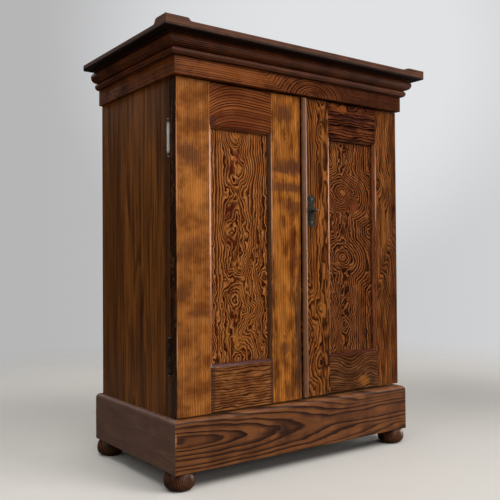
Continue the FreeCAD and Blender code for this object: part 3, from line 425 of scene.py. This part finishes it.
    def rub(self, tint, lines, reach=0.002, amount=0.5):
        """Paints paler lines along corners, partly worn wood and partly a painted highlight where
        an arris catches the light. Each is given as the two coordinates of a line with the grain,
        and where on it the pale line is and how long."""
        across = [axis for axis in range(3) if axis != self.along]
        raggedness, worn_through, worn_off = 0.8, 0.5, 1.2
        for first, second, place, length in lines:
            centre = [0, 0, 0]
            centre[across[0]], centre[across[1]], centre[self.along] = first, second, place
            scale = [1 / reach] * 3
            scale[self.along] = 1 / length
            shift = [-c * s for c, s in zip(centre, scale)]
            offset = self.vectors("MULTIPLY_ADD", self.spot, scale, shift)
            distance = self.vectors("LENGTH", offset, give="Value")
            rough = self.cloud(across=0.01, length=0.02, detail=3.0, seed=23) * raggedness
            worn = (1 - self.ease(distance + rough, worn_through, worn_off)) * amount
            self.wood = self.blend(worn, self.wood, tint)
        return self

    def wear(self, tint, amount, reach=0.0011):
        """Rubs the stain off the outer corners."""
        raggedness, worn_through, worn_off = 2.5, 0.4, 1.6
        middle, half = (self.low + self.high) / 2, (self.high - self.low) / 2
        away = self.vectors("ABSOLUTE", self.vectors("SUBTRACT", self.spot, middle))
        inside = self.vectors("SUBTRACT", half, away)
        a, b, c = self.add("SeparateXYZ", {}, {0: inside}, (0, 1, 2))
        inner = self.sums("MINIMUM", self.sums("MAXIMUM", a, b), c)
        nearest_corner = self.sums("MAXIMUM", self.sums("MINIMUM", a, b), inner)
        rough = self.cloud(across=0.02, length=0.06, detail=3.0, seed=21) * reach * raggedness
        distance = nearest_corner + rough
        worn = (1 - self.ease(distance, reach * worn_through, reach * worn_off)) * amount
        self.wood = self.blend(worn, self.wood, tint)
        return self

    def polish(self, roughness=0.26, grain_depth=0.00012, shine=0.14):
        """The shellac: glossier on the dark lines, with the pores and rings just standing out."""
        line_relief, pore_relief = 0.5, 0.6
        haze_dulling, line_gloss = 0.2, 0.06
        relief = self.line * line_relief + self.streak * pore_relief
        bump = {"Strength": 0.5, "Distance": grain_depth, "Height": relief}
        values = {
            "Base Color": self.wood,
            "Roughness": roughness + self.haze * haze_dulling - self.line * line_gloss,
            "Normal": self.add("Bump", {}, bump),
            "Specular IOR Level": shine,
        }
        self.add("OutputMaterial", {}, {0: self.add("BsdfPrincipled", {}, values)})
        return self.material


rubbed_pine = colour(186, 132, 92)
board_ease = 0.0011

plinth_front = eased("plinth_front", board_ease)
plinth_front.data.materials.append(
    Board("plinth_front", "x", seed=1)
    .grow(
        heart=(-0.158, 0.092), ring=0.0066, waves=((0.03, 0.14, 0.5), (0.012, 0.05, 0.25)),
        knots=((-0.345, 0.102, 0.42, 0.046, 2, 5.0),),
    )
    .stain(colour(114, 68, 34), colour(82, 46, 22), colour(34, 14, 7), late=0.45, glow=0.35,
           stains_and_painted_light=((-0.062, 0.090, 0.028, 0.015, 35, 0.85, colour(34, 16, 12)),
                    (-0.327, 0.104, 0.013, 0.009, 0, 0.9, colour(36, 18, 12)),
                    (-0.337, 0.108, 0.003, 0.016, 0, 0.7, rubbed_pine)))
    .polish(roughness=0.55)
)
plinth_side_finish = {
    "left": dict(light=colour(108, 80, 67), deep=colour(98, 71, 58), dark=colour(76, 53, 43),
                 contrast=0.25),
    "right": dict(light=colour(98, 62, 38), deep=colour(80, 48, 28), dark=colour(46, 24, 14),
                  contrast=0.7),
}
for side, seed, hand in (("left", 2, -1), ("right", 3, 1)):
    board = eased("plinth_side_" + side, board_ease)
    board.data.materials.append(
        Board("plinth_side_" + side, "y", "x", seed)
        .grow(heart=(-0.1 * hand, 0.02), ring=0.006, waves=((0.05, 0.2, 1.5),))
        .stain(**plinth_side_finish[side], glow=0.1)
        .polish(roughness=0.5)
    )

# Feet: four turned buns, each from a block with its grain running front to back, so the rings
# show as circles at the front. A spigot above holds each in its corner block.
slight_ease, on_turned_wood = 0.0005, math.radians(50)
for end in ("front", "back"):
    for side in ("left", "right"):
        node = f"foot_{end}_{side}"
        low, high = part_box(node)
        foot = eased(node, slight_ease, least_turn=on_turned_wood)
        middle = (low + high) / 2
        foot.data.materials.append(
            Board(node, "y", "x", seed=4)
            .grow(heart=(middle.x + 0.004, 0.022), ring=0.0036, waves=((0.03, 0.06, 0.8),))
            .stain(colour(96, 58, 36), colour(60, 33, 19), colour(24, 11, 6))
            .polish(roughness=0.4)
        )

# Inside and back: plain, unstained pine wherever it doesn't show. It makes the plinth's frame,
# the carcass bottom and top, the shelves on their cleats, the back and the cornice's blocks.
plain_ease, first_plain_seed = 0.0008, 20
plain_boards = {
    "plinth_back": "x", "plinth_ledgers": "y", "plinth_corner_blocks": "z",
    "carcass_bottom": "x", "carcass_top": "x", "back_board_left": "z", "back_board_middle": "z",
    "back_board_right": "z", "shelf_lower": "x", "shelf_upper": "x", "shelf_cleats": "y",
    "cornice_back_rail": "x", "cornice_blocks": "z",
}
for number, (node, along) in enumerate(plain_boards.items()):
    piece = eased(node, plain_ease)
    low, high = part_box(node)
    middle = (low + high) / 2
    heart = [value for axis, value in zip("xyz", middle) if axis != along]
    heart[0] += 0.03
    heart[1] -= 0.05
    piece.data.materials.append(
        Board(node, along, "y" if along == "z" else "z", seed=first_plain_seed + number)
        .grow(heart=heart, ring=0.006, waves=((0.06, 0.3, 1.6), (0.02, 0.09, 0.4)))
        .stain(colour(176, 136, 92), colour(156, 116, 74), colour(120, 80, 46), contrast=0.7)
        .polish(roughness=0.6)
    )

# Carcass sides: one wide board each, darker in a narrow band near the front edge and in a
# broad band further back.
for side, seed, hand in (("left", 5, -1), ("right", 6, 1)):
    node = "carcass_side_" + side
    board = eased(node, board_ease)
    board.data.materials.append(
        Board(node, "z", "x", seed)
        .grow(heart=(0.25 * hand, 0.02), ring=0.009, waves=((0.05, 0.4, 2.2), (0.012, 0.12, 0.3)))
        .stain(colour(138, 82, 30), colour(80, 43, 16), colour(44, 19, 7), contrast=0.5,
               flame=(0.018, 0.22), glow=0.3,
               stains_and_painted_light=((-0.127, 0.5, 0.014, 0.7, 0, 0.8, colour(40, 22, 12)),
                        (0.14, 0.5, 0.06, 0.7, 0, 0.5, colour(74, 40, 16))))
        .wear(rubbed_pine, amount=0.15)
        .polish(roughness=0.42)
    )

# Cornice: a plain frieze, a crown moulding of two half rounds, and a cap board with moulded
# edge strips that rise in sawn ears at the front corners.
# A pale painted highlight for the crown's upper arris, and a near-black painted shade for the
# underside of the cap.
crown_painted_highlight, cap_shadow = colour(140, 92, 70), colour(26, 12, 8)
cornice_finish = {
    "frieze": dict(light=colour(122, 62, 18), deep=colour(68, 31, 10), dark=colour(28, 8, 2),
                   contrast=1.0, glow=0.5),
    "crown": dict(light=colour(108, 54, 22), deep=colour(66, 30, 12), dark=colour(20, 6, 2),
                  contrast=1.2, glow=0.5, fibre=0.6),
    "cap_edge": dict(light=colour(94, 52, 25), deep=colour(62, 31, 15), dark=colour(24, 9, 4),
                     contrast=0.8, glow=0.3),
}
frieze_knots = ((0.035, 0.848, 0.085, 0.042, 0, 9.0),)
# The golden patch on the frieze's left is tone in the wood; the dark patch on its right is a
# painted shadow cast by the cap and crown.
frieze_tone_and_painted_shadow = (
    (-0.19, 0.87, 0.14, 0.018, 0, 0.85, colour(134, 72, 24)),
    (0.22, 0.866, 0.16, 0.04, 0, 0.75, colour(50, 20, 8)),
)
# Painted shade along the underside of the cap's moulded edge.
cap_painted_shade = ((0.0, 0.926, 10.0, 0.0075, 0, 1.0, cap_shadow),)
crown_front, crown_arris_height, whole_length = -0.194, 0.9277, 1.0
for part, ring, first_seed in (
    ("frieze", 0.0045, 18), ("crown", 0.0036, 15), ("cap_edge", 0.0055, 24)
):
    for side, along, through, seed in (
        ("front", "x", "y", 7), ("left", "y", "x", 8), ("right", "y", "x", 9)
    ):
        node = f"{part}_{side}"
        low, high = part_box(node)
        middle = (low + high) / 2
        heart = (middle["xyz".index(through)] + 0.02, 0.62)
        knots, stains_and_painted_light, lines = (), (), ()
        if node == "frieze_front":
            knots, stains_and_painted_light = frieze_knots, frieze_tone_and_painted_shadow
        elif part == "cap_edge":
            stains_and_painted_light = cap_painted_shade
        elif part == "crown":
            # Painted highlight along the crown's upper arris.
            crown_face = {"front": crown_front, "left": low.x, "right": high.x}[side]
            lines = ((crown_face, crown_arris_height, 0.0, whole_length),)
        board = eased(node, board_ease)
        board.data.materials.append(
            Board(node, along, through, seed=first_seed + seed)
            .grow(heart=heart, ring=ring, waves=((0.03, 0.16, 0.9),),
                  ripple=(0.03, 0.03, 0.0007), knots=knots)
            .stain(**cornice_finish[part], stains_and_painted_light=stains_and_painted_light, late=0.5 if side == "front" else 0.3)
            .rub(crown_painted_highlight, lines, reach=0.0016)
            .polish(roughness=0.3 if part == "frieze" else 0.55)
        )
board = eased("cap_board", board_ease)
board.data.materials.append(
    Board("cap_board", "x", "z", seed=31)
    .grow(heart=(0.05, 0.88), ring=0.006, waves=((0.06, 0.3, 1.8), (0.02, 0.09, 0.4)))
    .stain(colour(110, 64, 32), colour(92, 50, 24), colour(50, 22, 10), contrast=0.8)
    .wear(rubbed_pine, amount=0.25)
    .polish(roughness=0.5)
)

# Doors: each has two stiles, two rails and one wide panel, mortised and pinned, with the inner
# edge moulded. The stiles are straight-grained, the panels cut through the wild heart, and a
# half-round bead on the right door covers the gap between the two.
door_ease, bead_ease, first_door_seed = 0.0026, 0.0004, 40
door_face = -0.163
# Pale colours for the doors' corners: one along the arrises, partly worn wood and partly a
# painted highlight where an arris catches the light, and one on the left jamb slope of each
# opening, a painted highlight where the slope faces the light from the right.
arris_wear_and_highlight, moulding_painted_highlight = colour(198, 140, 104), colour(206, 154, 126)
# The first dark colour is partly stain at ends and edges and partly painted shade on the shaded
# slope of the right jamb; the last is painted shade on the bottom rails' moulded slopes.
edge_stain_and_shade, dark_smudge, rail_shadow = colour(58, 40, 30), colour(88, 50, 28), colour(62, 22, 10)
light_rub, gold, amber = colour(150, 96, 46), colour(150, 92, 36), colour(136, 72, 28)
red, dark_red, umber = colour(112, 52, 28), colour(74, 26, 10), colour(44, 16, 6)
door_boards = {
    "left_door_hinge_stile": dict(
        along="z", heart=(-0.62, -0.10), ring=0.0046, waves=((0.03, 0.16, 1.2),),
        ripple=(0.02, 0.012, 0.0020),
        light=colour(160, 98, 42), deep=colour(104, 57, 23), dark=colour(70, 31, 9),
        contrast=0.55, flame=(0.036, 0.026), glow=0.35,
        stains_and_painted_light=((-0.3254, 0.5, 0.0013, 2.0, 0, 1.0, colour(38, 22, 13)),
                 (-0.295, 0.69, 0.034, 0.024, 25, 0.85, dark_smudge),
                 (-0.270, 0.75, 0.034, 0.014, 0, 0.6, dark_smudge),
                 (-0.285, 0.61, 0.030, 0.040, 0, 0.6, colour(180, 114, 48)),
                 (-0.280, 0.50, 0.040, 0.020, -15, 0.6, dark_smudge),
                 (-0.310, 0.40, 0.018, 0.016, 0, 0.8, dark_smudge),
                 (-0.275, 0.358, 0.030, 0.010, 0, 0.6, dark_smudge),
                 (-0.275, 0.43, 0.025, 0.012, 0, 0.5, light_rub),
                 (-0.27, 0.34, 0.025, 0.010, 0, 0.5, light_rub),
                 # Painted highlight on the moulded slope of the left jamb.
                 (-0.2425, 0.60, 0.0030, 0.20, 0, 1.0, moulding_painted_highlight),
                 (-0.240, 0.32, 0.0050, 0.10, 0, 0.8, red)),
        lines=((-0.3245, door_face, 0.66, 0.13), (-0.3245, door_face, 0.29, 0.05),
               (-0.244, door_face, 0.63, 0.14)),
    ),
    "left_door_meeting_stile": dict(
        along="z", heart=(-0.22, -0.120), ring=0.0060, waves=((0.025, 0.09, 1.6),),
        ripple=(0.03, 0.02, 0.0012),
        light=colour(176, 108, 40), deep=colour(86, 42, 16), dark=colour(60, 24, 8),
        contrast=0.55, flame=(0.018, 0.050),
        stains_and_painted_light=((-0.042, 0.800, 0.022, 0.022, 0, 1.0, dark_smudge),
                 (-0.030, 0.68, 0.060, 0.020, 0, 1.0, dark_smudge),
                 (-0.035, 0.633, 0.060, 0.013, 0, 0.9, dark_smudge),
                 (-0.010, 0.590, 0.030, 0.014, 0, 0.8, dark_smudge),
                 (-0.040, 0.656, 0.040, 0.007, 10, 0.5, colour(172, 106, 42)),
                 (-0.045, 0.72, 0.020, 0.035, 0, 0.6, gold),
                 (-0.060, 0.47, 0.013, 0.12, 0, 0.8, gold),
                 (-0.052, 0.32, 0.016, 0.04, 0, 0.7, gold),
                 (-0.045, 0.265, 0.012, 0.016, 0, 0.8, dark_smudge),
                 (-0.020, 0.50, 0.012, 0.09, 0, 0.6, dark_red),
                 (-0.004, 0.30, 0.012, 0.18, 0, 0.85, edge_stain_and_shade),
                 # Painted shade on the moulded slope of the right jamb, which faces away from the
                 # light.
                 (-0.084, 0.5, 0.006, 0.6, 0, 0.9, edge_stain_and_shade)),
        knots=((-0.038, 0.748, 0.007, 0.012, 0, 1.5), (-0.045, 0.275, 0.009, 0.03, 0, 2.2)),
        lines=((-0.079, door_face, 0.62, 0.16),),
    ),
    "left_door_top_rail": dict(
        along="x", heart=(-0.06, 0.60), ring=0.0056, waves=((0.02, 0.15, 0.35),),
        ripple=(0.03, 0.03, 0.0008), bow=(-0.17, 4.0, 0.6),
        light=colour(134, 74, 32), deep=colour(92, 42, 15), dark=colour(38, 11, 3),
        contrast=1.0, late=0.45, flame=(0.05, 0.08),
        stains_and_painted_light=((-0.236, 0.764, 0.013, 0.012, 0, 0.9, edge_stain_and_shade),
                 (-0.16, 0.768, 0.09, 0.024, 0, 0.7, colour(84, 34, 16))),
    ),
    "left_door_bottom_rail": dict(
        along="x", heart=(-0.10, 0.34), ring=0.0056, waves=((0.009, 0.035, 0.8),),
        ripple=(0.03, 0.03, 0.0015),
        light=colour(138, 86, 44), deep=colour(90, 48, 22), dark=colour(42, 15, 4),
        contrast=0.95, flame=(0.02, 0.03), glow=0.4,
        stains_and_painted_light=((-0.240, 0.20, 0.008, 0.2, 0, 0.8, edge_stain_and_shade),
                 (-0.081, 0.20, 0.007, 0.2, 0, 0.8, edge_stain_and_shade),
                 (-0.165, 0.2455, 0.2, 0.006, 0, 1.0, rail_shadow)),
    ),
    "left_door_panel": dict(
        along="z", heart=(-0.174, -0.146), ring=0.0068,
        waves=((0.020, 0.036, 1.9), (0.010, 0.014, 0.7)), ripple=(0.035, 0.011, 0.0042),
        calm=((-0.218, 0.62, 0.016, 0.2), (-0.118, 0.67, 0.034, 0.09)),
        light=colour(166, 103, 50), deep=colour(86, 40, 15), dark=colour(44, 13, 2),
        contrast=0.95, late=0.62, flame=(0.014, 0.03), glow=0.85, mottle=0.6,
        knots=((-0.149, 0.359, 0.016, 0.012, 0, 3.2), (-0.168, 0.457, 0.012, 0.014, 0, 2.5),
               (-0.133, 0.462, 0.012, 0.012, 0, -2.5), (-0.196, 0.395, 0.008, 0.008, 0, 2.0),
               (-0.163, 0.665, 0.013, 0.018, 10, 2.2), (-0.188, 0.572, 0.014, 0.036, 31, -2.4),
               (-0.165, 0.255, 0.016, 0.020, 0, 2.5)),
        swells=((-0.175, 0.745, 0.03, 0.030, -4.0), (-0.170, 0.615, 0.03, 0.022, 2.2),
                (-0.195, 0.525, 0.02, 0.020, -2.5), (-0.145, 0.300, 0.03, 0.036, 4.0),
                (-0.172, 0.425, 0.02, 0.020, 3.0), (-0.180, 0.380, 0.02, 0.016, -2.0),
                (-0.105, 0.425, 0.014, 0.025, 2.0)),
        stains_and_painted_light=((-0.166, 0.690, 0.011, 0.016, 0, 1.0, red),
                 (-0.184, 0.665, 0.009, 0.014, 0, 1.0, dark_red),
                 (-0.188, 0.572, 0.015, 0.034, 31, 1.0, dark_red),
                 (-0.182, 0.512, 0.022, 0.014, 0, 0.9, dark_red),
                 (-0.180, 0.345, 0.013, 0.015, 0, 1.0, dark_red),
                 (-0.186, 0.405, 0.009, 0.014, 0, 0.9, dark_red),
                 (-0.172, 0.300, 0.007, 0.024, 0, 0.8, gold),
                 (-0.196, 0.300, 0.006, 0.022, 0, 0.7, gold),
                 (-0.168, 0.457, 0.016, 0.018, 0, 0.7, gold),
                 (-0.168, 0.457, 0.005, 0.006, 0, 1, dark_red),
                 (-0.162, 0.666, 0.010, 0.012, 0, 0.8, gold),
                 (-0.194, 0.538, 0.012, 0.009, 0, 0.8, gold),
                 (-0.172, 0.737, 0.010, 0.010, 0, 0.8, gold),
                 (-0.155, 0.400, 0.011, 0.013, 0, 0.7, gold),
                 (-0.166, 0.290, 0.020, 0.016, 0, 0.6, gold),
                 (-0.133, 0.462, 0.009, 0.009, 0, 0.6, dark_red)),
    ),
    "right_door_meeting_stile": dict(
        along="z", heart=(0.082, -0.150), ring=0.0066, waves=((0.014, 0.05, 1.5),),
        ripple=(0.05, 0.018, 0.0034), calm=((0.030, 0.66, 0.020, 0.14),),
        light=colour(144, 84, 34), deep=colour(78, 36, 12), dark=colour(32, 10, 2),
        contrast=0.9, late=0.55, flame=(0.010, 0.06), glow=0.7, mottle=0.8,
        knots=((0.067, 0.354, 0.017, 0.017, 20, 1.6), (0.068, 0.775, 0.010, 0.03, 0, 2.0),
               (0.066, 0.226, 0.017, 0.024, 10, 1.7), (0.036, 0.295, 0.009, 0.016, 0, 1.5),
               (0.074, 0.845, 0.014, 0.026, 0, 2.0)),
        stains_and_painted_light=((0.077, 0.312, 0.011, 0.013, 0, 1.0, umber),
                 (0.069, 0.226, 0.010, 0.014, -30, 1.0, umber),
                 (0.067, 0.354, 0.009, 0.009, 0, 0.9, gold),
                 (0.072, 0.255, 0.010, 0.010, 0, 0.6, umber),
                 (0.065, 0.70, 0.006, 0.10, 5, 0.6, umber),
                 (0.074, 0.74, 0.006, 0.05, 0, 0.6, gold),
                 (0.084, 0.80, 0.007, 0.03, 0, 0.6, umber),
                 (0.070, 0.56, 0.010, 0.05, 0, 0.55, gold),
                 (0.085, 0.59, 0.006, 0.04, 0, 0.6, umber),
                 (0.078, 0.48, 0.008, 0.04, 20, 0.5, umber),
                 # Painted highlight on the moulded slope of the left jamb.
                 (0.0935, 0.61, 0.0030, 0.18, 0, 1.0, moulding_painted_highlight),
                 (0.096, 0.34, 0.0050, 0.12, 0, 0.8, colour(120, 82, 36))),
        lines=((0.092, door_face, 0.64, 0.14),),
    ),
    "right_door_hinge_stile": dict(
        along="z", heart=(0.43, -0.10), ring=0.0050, waves=((0.018, 0.05, 1.3),),
        ripple=(0.04, 0.013, 0.0028),
        light=colour(130, 74, 30), deep=colour(68, 34, 12), dark=colour(30, 9, 2),
        flame=(0.014, 0.05), glow=0.5,
        knots=((0.258, 0.655, 0.010, 0.022, 0, -1.6), (0.258, 0.385, 0.010, 0.026, 20, -1.8)),
        stains_and_painted_light=((0.316, 0.597, 0.008, 0.010, 0, 1, umber),
                 (0.314, 0.5, 0.012, 0.5, 0, 0.6, umber),
                 (0.277, 0.67, 0.006, 0.025, -15, 0.7, gold),
                 (0.277, 0.54, 0.008, 0.06, 0, 0.5, gold),
                 (0.265, 0.38, 0.016, 0.018, 30, 0.6, umber),
                 (0.247, 0.5, 0.006, 0.6, 0, 0.8, colour(118, 66, 40))),
        lines=((0.251, door_face, 0.66, 0.12),) * 2,
    ),
    "right_door_top_rail": dict(
        along="x", heart=(-0.10, 0.66), ring=0.0072, waves=((0.014, 0.05, 1.0),),
        ripple=(0.03, 0.03, 0.0030),
        light=colour(96, 46, 18), deep=colour(36, 12, 4), dark=colour(12, 2, 1),
        contrast=1.0, flame=(0.02, 0.04), glow=0.5,
        knots=((0.140, 0.833, 0.019, 0.013, 0, 1.6), (0.200, 0.836, 0.018, 0.009, 0, 1.3)),
        stains_and_painted_light=((0.17, 0.815, 0.07, 0.012, 0, 0.8, colour(40, 14, 11)),
                 (0.140, 0.833, 0.015, 0.011, 0, 0.9, amber),
                 (0.108, 0.838, 0.012, 0.006, 0, 0.8, amber),
                 (0.200, 0.837, 0.014, 0.005, 0, 0.7, colour(112, 58, 24))),
    ),
    "right_door_bottom_rail": dict(
        along="x", heart=(-0.12, 0.32), ring=0.0060, waves=((0.015, 0.06, 0.6),),
        ripple=(0.03, 0.03, 0.002),
        light=colour(108, 66, 34), deep=colour(66, 34, 15), dark=colour(28, 9, 2),
        contrast=0.95, flame=(0.02, 0.04), glow=0.4,
        swells=((0.160, 0.205, 0.035, 0.040, -3.2), (0.225, 0.195, 0.025, 0.030, 2.0)),
        stains_and_painted_light=((0.232, 0.172, 0.015, 0.012, 0, 0.8, edge_stain_and_shade),
                 (0.205, 0.170, 0.020, 0.012, 20, 0.8, gold),
                 (0.165, 0.158, 0.016, 0.006, 0, 0.7, umber),
                 (0.17, 0.2415, 0.2, 0.006, 0, 0.9, rail_shadow)),
    ),
    "right_door_panel": dict(
        along="z", heart=(0.148, -0.146), ring=0.0066,
        waves=((0.022, 0.036, 1.9), (0.011, 0.015, 0.7)), ripple=(0.035, 0.011, 0.0044),
        calm=((0.205, 0.5, 0.025, 0.4), (0.146, 0.631, 0.032, 0.024),
              (0.145, 0.474, 0.022, 0.016)),
        light=colour(136, 80, 40), deep=colour(66, 28, 11), dark=colour(26, 7, 1),
        contrast=0.95, late=0.62, flame=(0.014, 0.03), glow=0.85, mottle=0.6,
        knots=((0.146, 0.631, 0.044, 0.031, 20, 5.6), (0.145, 0.474, 0.032, 0.023, 20, 3.6),
               (0.183, 0.597, 0.010, 0.010, 0, -2.0), (0.122, 0.505, 0.010, 0.010, 0, 2.0),
               (0.159, 0.375, 0.010, 0.012, 0, 2.4), (0.139, 0.341, 0.010, 0.010, 0, 2.0),
               (0.226, 0.577, 0.006, 0.006, 0, 1.5)),
        swells=((0.146, 0.600, 0.05, 0.13, 2.4), (0.110, 0.270, 0.03, 0.050, 3.5),
                (0.150, 0.310, 0.03, 0.016, -2.0)),
        stains_and_painted_light=((0.150, 0.605, 0.045, 0.030, 0, 0.5, dark_red),
                 (0.146, 0.631, 0.010, 0.006, 20, 0.9, colour(140, 86, 48)),
                 (0.145, 0.474, 0.007, 0.005, 20, 0.9, colour(134, 82, 46)),
                 (0.183, 0.597, 0.008, 0.008, 0, 0.9, red),
                 (0.155, 0.735, 0.011, 0.020, 0, 0.9, umber),
                 (0.155, 0.707, 0.008, 0.010, 0, 0.6, light_rub),
                 (0.118, 0.71, 0.010, 0.03, 0, 0.5, gold),
                 (0.150, 0.548, 0.035, 0.014, 0, 0.5, umber),
                 (0.125, 0.459, 0.008, 0.006, 0, 0.6, light_rub),
                 (0.177, 0.455, 0.008, 0.006, 0, 0.6, light_rub),
                 (0.152, 0.397, 0.008, 0.010, 0, 1.0, umber),
                 (0.190, 0.400, 0.008, 0.010, 0, 0.5, gold),
                 (0.226, 0.577, 0.005, 0.005, 0, 0.8, light_rub),
                 # Painted shadow cast by the right stile onto the panel's right edge.
                 (0.242, 0.5, 0.005, 0.5, 0, 0.7, umber),
                 (0.225, 0.45, 0.010, 0.014, 0, 0.5, umber)),
    ),
}
growth_words = ("heart", "ring", "waves", "ripple", "knots", "swells", "calm", "bow")
for number, (node, cut) in enumerate(door_boards.items()):
    along, lines = cut.pop("along"), cut.pop("lines", ())
    growth = {word: cut.pop(word) for word in growth_words if word in cut}
    piece = eased(node, door_ease)
    piece.data.materials.append(
        Board(node, along, seed=first_door_seed + number)
        .grow(**growth)
        .stain(**cut)
        # Pale lines along the arrises: partly wear, partly painted highlight.
        .rub(arris_wear_and_highlight, lines)
        .polish()
    )
# The bead's pale, pinkish colours are partly pale wax in its pores and partly a painted highlight
# along its round.
bead = eased("meeting_bead", bead_ease, least_turn=on_turned_wood)
bead.data.materials.append(
    Board("meeting_bead", "z", seed=61)
    .grow(heart=(0.2, -0.10), ring=0.004, waves=((0.03, 0.3, 0.8),))
    .stain(colour(122, 84, 58), colour(104, 68, 44), colour(74, 44, 26), contrast=0.5)
    .polish(roughness=0.35)
)


# Fittings: cast iron hinge leaves and lock plate, gone dark, with brighter worn steel on the
# screw heads and a near-white patch on the upper left hinge's barrel.
pit_fineness, pit_dulling = 9, 0.3
wear_spread, worn_fully = 0.4, 0.75
bright_within, bright_end = 0.85, 1.05


def metal(name, base, worn, roughness, spots, wear, bright=()):
    """A dark metal with paler rubbed places. Bright is a place, its size and the colour there."""
    material = bpy.data.materials.new(name)
    wiring = Wiring(material)
    spot = wiring.add("TexCoord", give="Object")
    values = {"Vector": spot, "Scale": spots, "Detail": 4, "Roughness": 0.6}
    patches = wiring.add("TexNoise", {}, values)
    values = {"Vector": spot, "Scale": spots * pit_fineness, "Detail": 3}
    pits = wiring.add("TexNoise", {}, values)
    worn_from = noise_middle - wear * wear_spread
    tone = wiring.blend(wiring.ease(patches, worn_from, worn_fully), base, worn)
    for place, size, tint in bright:
        values = {"Vector": spot, "Location": place, "Scale": size}
        offset = wiring.add("Mapping", {"vector_type": "TEXTURE"}, values)
        distance = wiring.vectors("LENGTH", offset, give="Value")
        tone = wiring.blend(1 - wiring.ease(distance, bright_within, bright_end), tone, tint)
    values = {
        "Base Color": tone,
        "Metallic": 0.85,
        "Roughness": roughness + (pits - noise_middle) * pit_dulling,
        "Normal": wiring.add("Bump", {}, {"Strength": 0.4, "Distance": 0.0003, "Height": pits}),
    }
    wiring.add("OutputMaterial", {}, {0: wiring.add("BsdfPrincipled", {}, values)})
    return material


upper_left_barrel = (-0.327, -0.1355, 0.722)
barrel_reach = (0.0062, 0.0062, 0.042)
barrel_shine = (upper_left_barrel, barrel_reach, colour(200, 196, 188))
iron = metal(
    "aged_iron", colour(42, 40, 34), colour(70, 64, 54), roughness=0.55, spots=180, wear=0.3
)
steel = metal(
    "worn_steel", colour(96, 92, 84), colour(176, 172, 162), roughness=0.38, spots=260, wear=0.6
)
hinge_iron = metal(
    "hinge_iron", colour(46, 42, 38), colour(84, 76, 66), roughness=0.55, spots=60, wear=0.1,
    bright=[barrel_shine],
)
key_iron = metal(
    "key_iron", colour(58, 54, 50), colour(104, 98, 90), roughness=0.45, spots=260, wear=0.5
)
for node, name in slot_of.items():
    if name in ("aged_iron", "worn_steel"):
        for holder in frame["nodes"][node].material_slots:
            if "hinge" in node and "leaves" in node:
                holder.material = hinge_iron
            elif node == "key":
                holder.material = key_iron
            else:
                holder.material = iron if name == "aged_iron" else steel

# Lock plate: a thin iron plate with a waved outline lies behind the key's raised collar, and two
# pins hold both to the door.
plate_middle = Vector((0.037, door_face, 0.582))
plate_half_height, plate_half_width, plate_thickness = 0.0365, 0.0108, 0.0009
plate_waist, plate_waves, plate_squareness = 0.20, 2.5, 18
shape = bmesh.new()
bmesh.ops.create_circle(shape, cap_ends=True, segments=96, radius=1)
for corner in shape.verts:
    height = corner.co.y
    narrowing = 1 - plate_waist * math.sin(abs(height) * math.pi * plate_waves / 2) ** 2
    width = math.sqrt(1 - height ** plate_squareness) * narrowing * plate_half_width
    corner.co = (math.copysign(width, corner.co.x), 0, height * plate_half_height)
bmesh.ops.remove_doubles(shape, verts=shape.verts, dist=same_place)
grown = bmesh.ops.extrude_face_region(shape, geom=shape.faces[:])
front = [item for item in grown["geom"] if isinstance(item, bmesh.types.BMVert)]
bmesh.ops.translate(shape, verts=front, vec=(0, -plate_thickness, 0))
bmesh.ops.translate(shape, verts=shape.verts, vec=plate_middle)
bmesh.ops.recalc_face_normals(shape, faces=shape.faces)
plate_mesh = bpy.data.meshes.new("lock_plate")
shape.to_mesh(plate_mesh)
lock_plate = bpy.data.objects.new("lock_plate", plate_mesh)
bpy.context.scene.collection.objects.link(lock_plate)
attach(lock_plate, "right_door")
plate_mesh.materials.append(iron)
